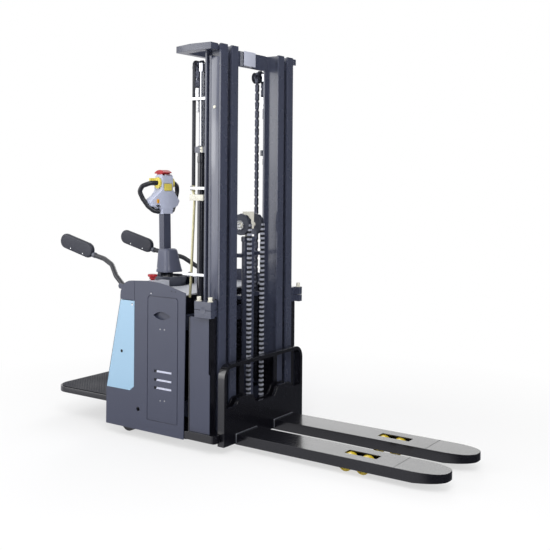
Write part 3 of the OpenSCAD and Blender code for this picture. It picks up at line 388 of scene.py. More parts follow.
    # Acid-proof coat of the battery case: satin dark blue
    BATTERY = Finish("acid_proof_coat", "23303f", Surface.POWDER, 0.45, tint="1f2a38")
    # Bare weld bead as it was laid: bright metal with ripples
    WELD = Finish("bare_weld", "a9abb3", Surface.CAST, 0.4, 0.9, tint="8b8d96", tint_mm=12, grain_mm=2.0,
                  relief_mm=0.2)
    # Painted shade: matt black in holes and slits, in place of the shade of their depth
    PAINTED_SHADE = Finish("dark_recess", "0b0b0d", Surface.PLAIN, 0.7, tint="0a0a0c")


# Modelling


class Pick(Enum):
    """What a test by place selects."""

    FACES = "FACE"
    EDGES = "EDGE"


def looks_up(middle: Vector, normal: Vector) -> bool:
    """Whether a face looks up."""
    return normal.z > UPWARD


class Bench:
    """Hand tools: each acts on one object through Blender's own operators."""

    @staticmethod
    def clear() -> None:
        """Deselect everything."""
        if bpy.context.object and bpy.context.object.mode != "OBJECT":
            bpy.ops.object.mode_set(mode="OBJECT")
        bpy.ops.object.select_all(action="DESELECT")

    @staticmethod
    def hold(obj: bpy.types.Object) -> None:
        """Make an object the only selected one and the active one.

        Args:
            obj: the object.
        """
        Bench.clear()
        obj.select_set(True)
        bpy.context.view_layer.objects.active = obj

    @staticmethod
    def enter(obj: bpy.types.Object) -> None:
        """Open an object in edit mode with nothing selected in it.

        Args:
            obj: the object.
        """
        Bench.hold(obj)
        bpy.ops.object.mode_set(mode="EDIT")
        bpy.ops.mesh.select_mode(type="VERT")
        bpy.ops.mesh.select_all(action="DESELECT")

    @staticmethod
    def leave() -> None:
        """Close edit mode."""
        bpy.ops.object.mode_set(mode="OBJECT")

    @staticmethod
    def pick(obj: bpy.types.Object, kind: Pick, test: Callable[[Vector, Vector], bool]) -> None:
        """Select faces or edges of the open object by place.

        Args:
            obj: the object in edit mode.
            kind: what is selected.
            test: takes the middle and the normal of a face, or the two ends of an edge.
        """
        bpy.ops.mesh.select_mode(type=kind.value)
        bpy.ops.mesh.select_all(action="DESELECT")
        bm = bmesh.from_edit_mesh(obj.data)
        if kind is Pick.FACES:
            chosen = [face for face in bm.faces if test(face.calc_center_median(), face.normal)]
        else:
            chosen = [edge for edge in bm.edges if test(edge.verts[0].co, edge.verts[1].co)]
        for item in chosen:
            item.select_set(True)
        bm.select_flush_mode()
        bmesh.update_edit_mesh(obj.data)

    @staticmethod
    def settle(obj: bpy.types.Object) -> None:
        """Move an object's place, turn and scale into its mesh."""
        Bench.hold(obj)
        bpy.ops.object.transform_apply(location=True, rotation=True, scale=True)

    @staticmethod
    def soften(obj: bpy.types.Object, size: float, steps: int = 2) -> bpy.types.Object:
        """Round the sharp edges.

        Args:
            obj: the object.
            size: the rounding in millimetres.
            steps: its segments.

        Returns:
            The same object.
        """
        Bench.enter(obj)
        bpy.ops.mesh.select_mode(type="EDGE")
        bpy.ops.mesh.edges_select_sharp(sharpness=math.radians(35))
        bpy.ops.mesh.bevel(offset=size / 1000, segments=steps, affect="EDGES", clamp_overlap=True)
        Bench.leave()
        return Bench.smooth(obj)

    @staticmethod
    def smooth(obj: bpy.types.Object, angle: float = 38) -> bpy.types.Object:
        """Shade smooth up to an angle.

        Args:
            obj: the object.
            angle: the angle in degrees above which an edge stays sharp.

        Returns:
            The same object.
        """
        Bench.hold(obj)
        bpy.ops.object.shade_smooth_by_angle(angle=math.radians(angle))
        return obj

    @staticmethod
    def flatten(obj: bpy.types.Object) -> None:
        """Weight the normals by face area, so that large faces shade flat beside their rounded edges.

        Args:
            obj: the object.
        """
        Bench.hold(obj)
        even = obj.modifiers.new("even", "WEIGHTED_NORMAL")
        even.mode, even.weight, even.keep_sharp = "FACE_AREA", 50, True
        bpy.ops.object.modifier_apply(modifier="even")

    @staticmethod
    def named(name: str) -> bpy.types.Object:
        """Name the object that was just added."""
        obj = bpy.context.object
        obj.name = obj.data.name = name
        return obj

    @staticmethod
    def tidy(obj: bpy.types.Object) -> bpy.types.Object:
        """Merge doubles and turn the faces outward.

        Args:
            obj: the object.

        Returns:
            The same object.
        """
        Bench.enter(obj)
        bpy.ops.mesh.select_all(action="SELECT")
        bpy.ops.mesh.remove_doubles(threshold=SAME_POINT)
        bpy.ops.mesh.normals_make_consistent(inside=False)
        Bench.leave()
        return obj

    @staticmethod
    def join(name: str, parts: Iterable[bpy.types.Object]) -> bpy.types.Object:
        """Join objects into one mesh.

        Args:
            name: the joined object's name.
            parts: the objects.

        Returns:
            The joined object.
        """
        parts = list(parts)
        Bench.clear()
        for part in parts:
            part.select_set(True)
        bpy.context.view_layer.objects.active = parts[0]
        if len(parts) > 1:
            bpy.ops.object.join()
        return Bench.named(name)

    @staticmethod
    def copy(obj: bpy.types.Object, move: Matrix) -> bpy.types.Object:
        """A copy with its own mesh.

        Args:
            obj: the object.
            move: how the copy is moved or mirrored in the row frame.

        Returns:
            The copy.
        """
        twin = obj.copy()
        twin.data = obj.data.copy()
        bpy.context.collection.objects.link(twin)
        twin.data.transform(move)
        if move.determinant() < 0:
            twin.data.flip_normals()
        return twin

    @staticmethod
    def both(obj: bpy.types.Object) -> bpy.types.Object:
        """Join an object with its mirror image on the truck's other side."""
        return Bench.join(obj.name, [obj, Bench.copy(obj, Matrix.Diagonal((1, -1, 1, 1)))])

    @staticmethod
    def split(obj: bpy.types.Object, name: str, test: Callable[[Vector, Vector], bool]) -> bpy.types.Object:
        """Take some faces off an object as an object of their own.

        Args:
            obj: the object they are taken from.
            name: the new object's name.
            test: takes the middle and the normal of a face.

        Returns:
            The new object.
        """
        known = set(bpy.data.objects)
        Bench.enter(obj)
        Bench.pick(obj, Pick.FACES, test)
        bpy.ops.mesh.separate(type="SELECTED")
        Bench.leave()
        piece = next(o for o in bpy.data.objects if o not in known)
        piece.name = piece.data.name = name
        return piece

    @staticmethod
    def block(name: str, x: Span, y: Span, z: Span, soft: float, base: Matrix = TRUCK,
              steps: int = 2) -> bpy.types.Object:
        """A rounded block.

        Args:
            name: the piece's name.
            x, y, z: its limits in millimetres in the base frame.
            soft: the rounding of its edges in millimetres.
            base: the frame it is drawn in.
            steps: the rounding's segments.

        Returns:
            The new object.
        """
        Bench.clear()
        bpy.ops.mesh.primitive_cube_add(size=1, location=(0, 0, 0))
        obj = Bench.named(name)
        mid = [sum(v) / 2000 for v in (x, y, z)]
        size = [abs(v[1] - v[0]) / 1000 for v in (x, y, z)]
        obj.matrix_world = base @ Matrix.Translation(mid) @ Matrix.Diagonal((*size, 1))
        Bench.settle(obj)
        return Bench.soften(obj, soft, steps)

    @staticmethod
    def drum(name: str, a: Sequence[float], b: Sequence[float], d: float, soft: float, sides: int = 32,
             base: Matrix = TRUCK, dish: float = 0.0) -> bpy.types.Object:
        """A turned drum between two points.

        Args:
            name: the piece's name.
            a, b: the middles of its ends in millimetres in the base frame.
            d: its diameter in millimetres.
            soft: the rounding of its rims, or 0 for none.
            sides: how many sides it has.
            base: the frame it is drawn in.
            dish: depth in millimetres of a dish turned in the end at b.

        Returns:
            The new object.
        """
        Bench.clear()
        va, vb = Vector(a) / 1000, Vector(b) / 1000
        bpy.ops.mesh.primitive_cylinder_add(vertices=sides, radius=d / 2000, depth=(vb - va).length)
        obj = Bench.named(name)
        if dish:
            Bench.enter(obj)
            Bench.pick(obj, Pick.FACES, looks_up)
            bpy.ops.mesh.inset(thickness=d / 2000 * DISH_RIM)
            bpy.ops.transform.translate(value=(0, 0, -dish / 1000))
            Bench.leave()
        along = (vb - va).to_track_quat("Z", "Y").to_matrix().to_4x4()
        obj.matrix_world = base @ Matrix.Translation((va + vb) / 2) @ along
        Bench.settle(obj)
        return Bench.soften(obj, soft) if soft else Bench.smooth(obj)

    @staticmethod
    def bolt(name: str, at: Sequence[float], out: Sequence[float], across: float,
             high: float) -> bpy.types.Object:
        """A hexagon bolt head on its washer, which takes a fifth of the height.

        Args:
            name: the piece's name.
            at: the foot of the washer in millimetres.
            out: the direction it stands in.
            across: the head's width.
            high: the height of both.

        Returns:
            The new object.
        """
        p, n = Vector(at), Vector(out).normalized()
        seat = p + n * high * 0.2
        washer = Bench.drum(name + "_washer", p, seat, across * 1.3, 0.3, sides=20)
        head = Bench.drum(name, seat, p + n * high, across * 1.1, high * 0.1, sides=6, dish=high * 0.12)
        return Bench.join(name, [head, washer])

    @staticmethod
    def screw(name: str, at: Sequence[float], out: Sequence[float], d: float, high: float,
              base: Matrix = TRUCK) -> bpy.types.Object:
        """A round-headed screw with a socket in its head.

        Args:
            name: the piece's name.
            at: the foot of the head in millimetres.
            out: the direction it stands in.
            d: the head's diameter.
            high: the head's height.
            base: the frame it is drawn in.

        Returns:
            The new object.
        """
        p, n = Vector(at), Vector(out).normalized()
        return Bench.drum(name, p, p + n * high, d, high * 0.45, sides=16, base=base, dish=high * 0.4)

    @staticmethod
    def tube(name: str, points: Sequence[Sequence[float]], d: float, bend: float, base: Matrix = TRUCK,
             sides: int = 20, steps: int = 8) -> bpy.types.Object:
        """A tube bent through points: straight runs are extruded and corners are spun.

        Args:
            name: the piece's name.
            points: the corners of its middle line in millimetres.
            d: its diameter.
            bend: the bend radius of its middle line, cut down where a run is too short for it.
            base: the frame it is drawn in.
            sides: how many sides it has.
            steps: segments of each bend.

        Returns:
            The new object.
        """
        pts = [Vector(p) / 1000 for p in points]
        start = (pts[1] - pts[0]).normalized()
        Bench.clear()
        bpy.ops.mesh.primitive_circle_add(vertices=sides, radius=d / 2000, fill_type="NGON")
        obj = Bench.named(name)
        obj.matrix_world = Matrix.Translation(pts[0]) @ start.to_track_quat("Z", "Y").to_matrix().to_4x4()
        Bench.settle(obj)
        Bench.enter(obj)
        bpy.ops.mesh.select_all(action="SELECT")
        here = pts[0]
        for last, corner, following in zip(pts, pts[1:], pts[2:]):
            way, ahead = (corner - last).normalized(), (following - corner).normalized()
            angle = way.angle(ahead)
            cut = min(bend / 1000 * math.tan(angle / 2), BEND_ROOM * (corner - last).length,
                      BEND_ROOM * (following - corner).length)
            bpy.ops.mesh.extrude_region_move(TRANSFORM_OT_translate={"value": corner - way * cut - here})
            inward = (ahead - way * way.dot(ahead)).normalized()
            centre = corner - way * cut + inward * (cut / math.tan(angle / 2))
            bpy.ops.mesh.spin(steps=steps, angle=-angle, center=centre, axis=way.cross(ahead).normalized())
            here = corner + ahead * cut
        bpy.ops.mesh.extrude_region_move(TRANSFORM_OT_translate={"value": pts[-1] - here})
        Bench.leave()
        Bench.tidy(obj)
        obj.matrix_world = base
        Bench.settle(obj)
        return Bench.smooth(obj, 60)

    @staticmethod
    def plate(name: str, outline: Sequence[Sequence[float]], z: Span, base: Matrix, soft: float,
              steps: int = 2) -> bpy.types.Object:
        """A plate of any outline: a filled ring of points, extruded.

        Args:
            name: the piece's name.
            outline: its points in the base frame's X and Y, in millimetres.
            z: its two faces.
            base: the frame it is drawn in.
            soft: the rounding of its edges, or 0 for none.
            steps: the rounding's segments.

        Returns:
            The new object.
        """
        Bench.clear()
        bpy.ops.mesh.primitive_circle_add(vertices=len(outline), radius=1, fill_type="NGON")
        obj = Bench.named(name)
        for vertex, point in zip(obj.data.vertices, outline):
            vertex.co = (point[0] / 1000, point[1] / 1000, z[0] / 1000)
        Bench.enter(obj)
        bpy.ops.mesh.select_all(action="SELECT")
        bpy.ops.mesh.extrude_region_move(TRANSFORM_OT_translate={"value": (0, 0, (z[1] - z[0]) / 1000)})
        Bench.leave()
        obj.matrix_world = base
        Bench.settle(obj)
        Bench.tidy(obj)
        return Bench.soften(obj, soft, steps) if soft else Bench.smooth(obj)

    @staticmethod
    def rings(name: str, sections: Sequence[Sequence[float]], base: Matrix, square: float,
              sides: int) -> bpy.types.Object:
        """A form drawn up through rounded sections: each is extruded from the last and resized.

        Args:
            name: the piece's name.
            sections: for each its height, middle X, half width in X and half width in Y, in millimetres.
            base: the frame it is drawn in.
            square: 1 gives an oval, smaller is squarer.
            sides: points of a section.

        Returns:
            The new object.
        """
        z, mid, hx, hy = sections[0]
        Bench.clear()
        bpy.ops.mesh.primitive_circle_add(vertices=sides, radius=1, fill_type="NGON")
        obj = Bench.named(name)
        for vertex in obj.data.vertices:
            c, s = vertex.co.x, vertex.co.y
            px = math.copysign(abs(c) ** square, c)
            py = math.copysign(abs(s) ** square, s)
            vertex.co = (mid / 1000 + px * hx / 1000, py * hy / 1000, z / 1000)
        Bench.enter(obj)
        bpy.ops.mesh.select_all(action="SELECT")
        for last, new in zip(sections, sections[1:]):
            step = ((new[1] - last[1]) / 1000, 0, (new[0] - last[0]) / 1000)
            bpy.ops.mesh.extrude_region_move(TRANSFORM_OT_translate={"value": step})
            bpy.ops.transform.resize(value=(new[2] / last[2], new[3] / last[3], 1),
                                     center_override=(new[1] / 1000, 0, new[0] / 1000))
        Bench.leave()
        obj.matrix_world = base
        Bench.settle(obj)
        return Bench.smooth(Bench.tidy(obj), 40)


# Dressing


def coat(obj: bpy.types.Object, finish: Finish, slot: str, *nodes: str) -> bpy.types.Object:
    """Give a piece its material, and hide the nodes that it stands for.

    Args:
        obj: the piece.
        finish: its finish.
        slot: the record's material slot, not used.
        nodes: the nodes that it stands for.

    Returns:
        The same piece.
    """
    obj.data.materials.clear()
    obj.data.materials.append(finish.material())
    if nodes:
        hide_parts(*nodes)
    return obj


def wear(obj: bpy.types.Object, finish: Finish, body: str, slot: str, *nodes: str) -> bpy.types.Object:
    """Give a piece its material and the body that it moves with.

    Args:
        obj: the piece.
        finish: its finish.
        body: the body it moves with.
        slot: the record's material slot.
        nodes: the nodes that it stands for.

    Returns:
        The same piece.
    """
    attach(obj, body)
    return coat(obj, finish, slot, *nodes)


def dressed(node: str, finish: Finish, body: str, slot: str, soft: float,
            outer: bool = False) -> bpy.types.Object:
    """A node's form with its edges rounded and its faces smooth.

    Args:
        node: the node.
        finish: its finish.
        body: the body it moves with.
        slot: the record's material slot.
        soft: the rounding of its edges in millimetres.
        outer: round only the outward edges, so that seats stay square for the buttons in them.

    Returns:
        The piece, which stands for the node.
    """
    sharp = math.radians(EDGE_ANGLE)
    source = bpy.data.objects[node]
    obj = source.copy()
    obj.data = source.data.copy()
    obj.parent = None
    obj.matrix_world = Matrix.Identity(4)
    for key in [k for k in obj.keys() if k.startswith("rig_")]:
        del obj[key]
    bpy.context.collection.objects.link(obj)
    obj.name = node + "_skin"
    obj.hide_render = obj.hide_viewport = False
    Bench.enter(obj)
    bpy.ops.mesh.select_all(action="SELECT")
    bpy.ops.mesh.remove_doubles(threshold=SAME_POINT)
    Bench.leave()
    if outer:
        weight = obj.data.attributes.new("bevel_weight_edge", "FLOAT", "EDGE")
        bm = bmesh.new()
        bm.from_mesh(obj.data)
        marks = [e.is_manifold and e.is_convex and e.calc_face_angle(0) > sharp for e in bm.edges]
        bm.free()
        weight.data.foreach_set("value", [1.0 if mark else 0.0 for mark in marks])
    rim = obj.modifiers.new("rim", "BEVEL")
    rim.width, rim.segments = soft / 1000, 2
    rim.limit_method, rim.angle_limit = "WEIGHT" if outer else "ANGLE", sharp
    rim.use_clamp_overlap = False
    Bench.hold(obj)
    bpy.ops.object.modifier_apply(modifier="rim")
    Bench.smooth(obj, 36)
    Bench.flatten(obj)
    return wear(obj, finish, body, slot, node)


# Sub-assemblies


@dataclass
class Chassis:
    """Frame, legs, covers, battery and pump. Small fittings are made on the right flank and mirrored."""

    flank_y: float = -417.0
    bowl_half: float = 125.0
    bowl_rear: float = -700.0  # in the row frame
    door_screws: tuple[Spot, ...] = ((-396, 615), (-366, 615), (-392, 236), (-362, 238))
    cover_screw: Spot = (-598, 730)
    panel_screw: Spot = (-462, 801)
    small_head: Spot = (7, 2)  # diameter and height
    large_head: Spot = (13, 3)
    holes: tuple[Point, ...] = ((-676, 468, 17), (-319, 823, 6), (-292, 821, 6))  # X, Z and diameter
    louvres: tuple[float, ...] = (300, 343, 389)
    fin: tuple[Spot, ...] = ((-424, -6), (-419, 5.4), (-319, 5.4), (-318, -6))
    fin_depth: Span = (3.4, 2.6)
    end_x: float = -431.0
    end_d: float = 12.5
    end_depth: Span = (3.4, 2.4)

    def build(self) -> None:
        """Dress the frame and its covers."""
        for node, finish, slot, soft in (
            ("chassis_frame", Paint.FRAME, "dark_frame_paint", 1.5),
            ("legs", Paint.FRAME, "dark_frame_paint", 1.5),
            ("side_panels", Paint.BODY, "slate_body_paint", 0.8),
            ("doors", Paint.BODY, "slate_body_paint", 0.6),
            ("rear_covers", Paint.BLUE, "light_blue_cover", 1.2),
        ):
            dressed(node, finish, "chassis", slot, soft)
        self.hood()
        dressed("top_cover", Paint.DECK, "chassis", "grey_deck_plastic", 1.2, outer=True)
        dressed("front_covers", Paint.BODY, "chassis", "slate_body_paint", 1.2)
        dressed("battery", Paint.BATTERY, "chassis", "battery_case", 4.0)
        dressed("pump_unit", Paint.IRON, "chassis", "motor_casting", 2.0)
        self.screws()
        self.louvre_backs()

    def hood(self) -> None:
        """The rear hood, with the bowl's pedestal taken off it for a finish of its own."""
        half, rear = self.bowl_half / 1000, self.bowl_rear / 1000
        hood = dressed("rear_hood", Paint.BODY, "chassis", "dark_hood_plastic", 0.8)
        inner = Bench.split(hood, "bowl_pedestal", lambda c, n: abs(c.y) < half and c.x > rear)
        wear(inner, Paint.HOOD, "chassis", "dark_hood_plastic")

    def screws(self) -> None:
        """Screw heads of the doors, panels and corner covers, and dark discs of painted shade in their holes.
        """
        y = self.flank_y
        spots = [(spot, self.small_head) for spot in self.door_screws]
        spots += [(self.cover_screw, self.large_head), (self.panel_screw, self.small_head)]
        heads = [Bench.screw("panel_screw", (x, y, z), (0, -1, 0), *size) for (x, z), size in spots]
        wear(Bench.both(Bench.join("panel_screws", heads)), Paint.ZINC, "chassis", "white_clamp")
        # painted shade: dark dished discs in the panels' holes
        holes = [Bench.drum("hole", (x, y + 1, z), (x, y - 0.4, z), d, 0.15, sides=20, dish=0.3)
                 for x, z, d in self.holes]
        wear(Bench.both(Bench.join("panel_holes", holes)), Paint.PAINTED_SHADE, "chassis", "dark_hood_plastic")

    def louvre_backs(self) -> None:
        """The fins pressed in behind the louvre slots, pale as painted light, and the painted shade at their
        rear ends.
        """
        y = self.flank_y
        faces = tuple(-(y + depth) for depth in self.fin_depth)
        fins = [Bench.plate("fin", self.fin, faces, TRUCK @ shift(0, 0, z) @ turn(90, "X"), 0.2)
                for z in self.louvres]
        wear(Bench.both(Bench.join("louvre_fins", fins)), Paint.LOUVRE_PAINTED_LIGHT, "chassis", "slate_body_paint")
        inner, outer = (y + depth for depth in self.end_depth)
        # painted shade: dark discs at the slots' rear ends
        ends = [Bench.drum("end", (self.end_x, inner, z), (self.end_x, outer, z), self.end_d, 0.3, sides=20)
                for z in self.louvres]
        wear(Bench.both(Bench.join("louvre_ends", ends)), Paint.PAINTED_SHADE, "chassis", "dark_hood_plastic")


@dataclass
class Mast:
    """Fixed and moving uprights, cylinders, clamps and pipe. Fittings on the right are mirrored, but not
    the ring nuts and the clip, because hose and pipe run on one side only."""

    cylinder_clamp_z: Span = (1540.0, 1600.0)
    plug: Spot = (-98.0, 743.0)
    plug_y: Span = (-426.8, -430.2)
    plug_d: float = 38.0
    cap_x: Span = (-136.0, -62.0)
    cap_y: float = -413.0
    cap_z: Span = (787.0, 811.0)
    cap_d: float = 22.0
    washer_z: Span = (786.0, 790.0)
    washer_d: float = 29.0
    rail_bolt: Point = (-100.0, -340.0, 1790.0)
    clamp_bolt: Spot = (-197.0, -325.0)
    clamp_bolt_z: Span = (1562.0, 1577.0)
    ring_nuts: tuple[Spot, ...] = ((-268, 1366), (-277, 908))
    ring_y: Span = (-316.0, -326.0)
    ring_d: float = 24.0
    eye_y: Span = (-322.0, -325.4)
    eye_d: float = 10.0
    facing: tuple[Span, Span, Span] = ((-122.6, -72.4), (-340, -337.6), (792, 2052))
    crosshead: tuple[Span, Span, Span] = ((-127, -122.4), (-53, 53), (2038, 2119))
    clip: tuple[Spot, ...] = ((-283, -20), (-190, -20), (-190, 20), (-252, 20), (-262, 13), (-283, 13))
    clip_y: float = -300.0
    clip_z: Span = (1300.0, 1332.0)
    clip_screw: Point = (-244.0, -320.0, 1316.0)
    hub_y: Span = (-73.4, -80.0)
    hub_d: float = 52.0
    axle_y: Span = (-83.5, -86.0)
    axle_d: float = 24.0

    def build(self) -> None:
        """Dress the uprights and what they carry."""
        for node in ("outer_upright_left", "outer_upright_right", "outer_crossbars", "top_bow",
                     "trunnion_blocks"):
            dressed(node, Paint.MAST, "chassis", "mast_paint", 1.2)
        for node in ("inner_upright_left", "inner_upright_right"):
            dressed(node, Paint.MAST, "inner_mast", "mast_paint", 1.2)
        dressed("inner_crossbars", Paint.MAST, "inner_mast", "mast_paint", 0.4)
        dressed("side_barrels", Paint.BARREL, "chassis", "cylinder_paint", 1.0)
        dressed("free_barrel", Paint.MAST, "inner_mast", "cylinder_paint", 1.0)
        self.clamps()
        for node, finish, body, slot, soft in (
            ("rigid_pipe", Paint.PIPE, "chassis", "zinc_pipe", 0.4),
            ("side_rods", Paint.CHROME, "side_lift", "chromed_rod", 0.6),
            ("free_rod", Paint.CREAM, "free_lift", "chromed_rod", 0.8),
            ("chain_wheels", Paint.IRON, "lift_wheels", "wheel_casting", 0.6),
            ("side_pulley_left", Paint.IRON, "pulley_left", "wheel_casting", 0.4),
            ("side_pulley_right", Paint.IRON, "pulley_right", "wheel_casting", 0.4),
        ):
            dressed(node, finish, body, slot, soft)
        self.fasteners()
        self.facings()
        self.pipe_clip()
        self.hubs()

    def clamps(self) -> None:
        """The clamps, of which the cylinders' blocks wear the mast's coat."""
        low, high = (z / 1000 for z in self.cylinder_clamp_z)
        clamps = dressed("mast_clamps", Paint.ZINC, "chassis", "white_clamp", 0.6)
        blocks = Bench.split(clamps, "cylinder_clamps", lambda c, n: low < c.z < high)
        wear(blocks, Paint.MAST, "chassis", "mast_paint")

    def across(self, name: str, spot: Spot, y: Span, d: float, soft: float, sides: int,
               dish: float = 0.0) -> bpy.types.Object:
        """A drum that lies across the truck.

        Args:
            name: the piece's name.
            spot: its axis, as X and Z.
            y: its two ends, the outer one last.
            d: its diameter.
            soft: the rounding of its rims.
            sides: how many sides it has.
            dish: depth of a dish in its outer end.

        Returns:
            The new object.
        """
        x, z = spot
        return Bench.drum(name, (x, y[0], z), (x, y[1], z), d, soft, sides, dish=dish)

    def fasteners(self) -> None:
        """Trunnion plugs and bolts, clamp bolts, rail bolts and the ring nuts of the clamp bars."""
        plug = self.across("trunnion_plugs", self.plug, self.plug_y, self.plug_d, 0.8, 36, 1.2)
        wear(Bench.both(plug), Paint.MAST, "chassis", "mast_paint")
        y = self.cap_y
        low, high = self.cap_z
        heads = [Bench.drum("cap", (x, y, low), (x, y, high), self.cap_d, 2.0, sides=28, dish=9)
                 for x in self.cap_x]
        low, high = self.washer_z
        heads += [Bench.drum("washer", (x, y, low), (x, y, high), self.washer_d, 0.6, sides=28)
                  for x in self.cap_x]
        heads += [Bench.screw("rail_bolt", self.rail_bolt, (0, -1, 0), d=17, high=5)]
        heads += [Bench.bolt("clamp_bolt", (*self.clamp_bolt, z), (0, -1, 0), across=13, high=8)
                  for z in self.clamp_bolt_z]
        wear(Bench.both(Bench.join("mast_bolts", heads)), Paint.CREAM, "chassis", "white_clamp")
        rings = [self.across("ring", spot, self.ring_y, self.ring_d, 1.6, 28, 3) for spot in self.ring_nuts]
        wear(Bench.join("clamp_rings", rings), Paint.BARREL, "chassis", "white_clamp")
        eyes = [self.across("eye", spot, self.eye_y, self.eye_d, 1.0, 20) for spot in self.ring_nuts]
        wear(Bench.join("clamp_eyes", eyes), Paint.CREAM, "chassis", "white_clamp")

    def facings(self) -> None:
        """The flat plate that closes each outer rail's web, in the mast coat's lighter copy as painted light,
        and the front of the crosshead's fold, light grey as a painted highlight.
        """
        flank = Bench.block("rail_facings", *self.facing, soft=0.5)
        wear(Bench.both(flank), Paint.MAST_PAINTED_LIGHT, "chassis", "mast_paint")
        # painted highlight: the crosshead fold's front in light grey
        front = Bench.block("crosshead_front", *self.crosshead, soft=1.6, steps=3)
        wear(front, Paint.CROSSHEAD_HIGHLIGHT, "inner_mast", "mast_paint")

    def pipe_clip(self) -> None:
        """The clip that ties the rigid pipe to the cylinder."""
        clip = Bench.plate("pipe_clip", self.clip, self.clip_z, TRUCK @ shift(0, self.clip_y, 0), 1.6)
        screw = Bench.screw("clip_screw", self.clip_screw, (0, -1, 0), d=9, high=3)
        wear(Bench.join("pipe_clip", [clip, screw]), Paint.CREAM, "chassis", "white_clamp")

    def hubs(self) -> None:
        """Bright hubs outside the chain wheels, and their axle ends."""
        spot = (CHAIN_WHEEL_X, CHAIN_WHEEL_Z)
        hub = self.across("hub", spot, self.hub_y, self.hub_d, 1.4, 36, 2.2)
        end = self.across("end", spot, self.axle_y, self.axle_d, 0.8, 28, 1.0)
        wear(Bench.both(Bench.join("wheel_hubs", [hub, end])), Paint.ZINC, "free_lift", "chromed_rod")


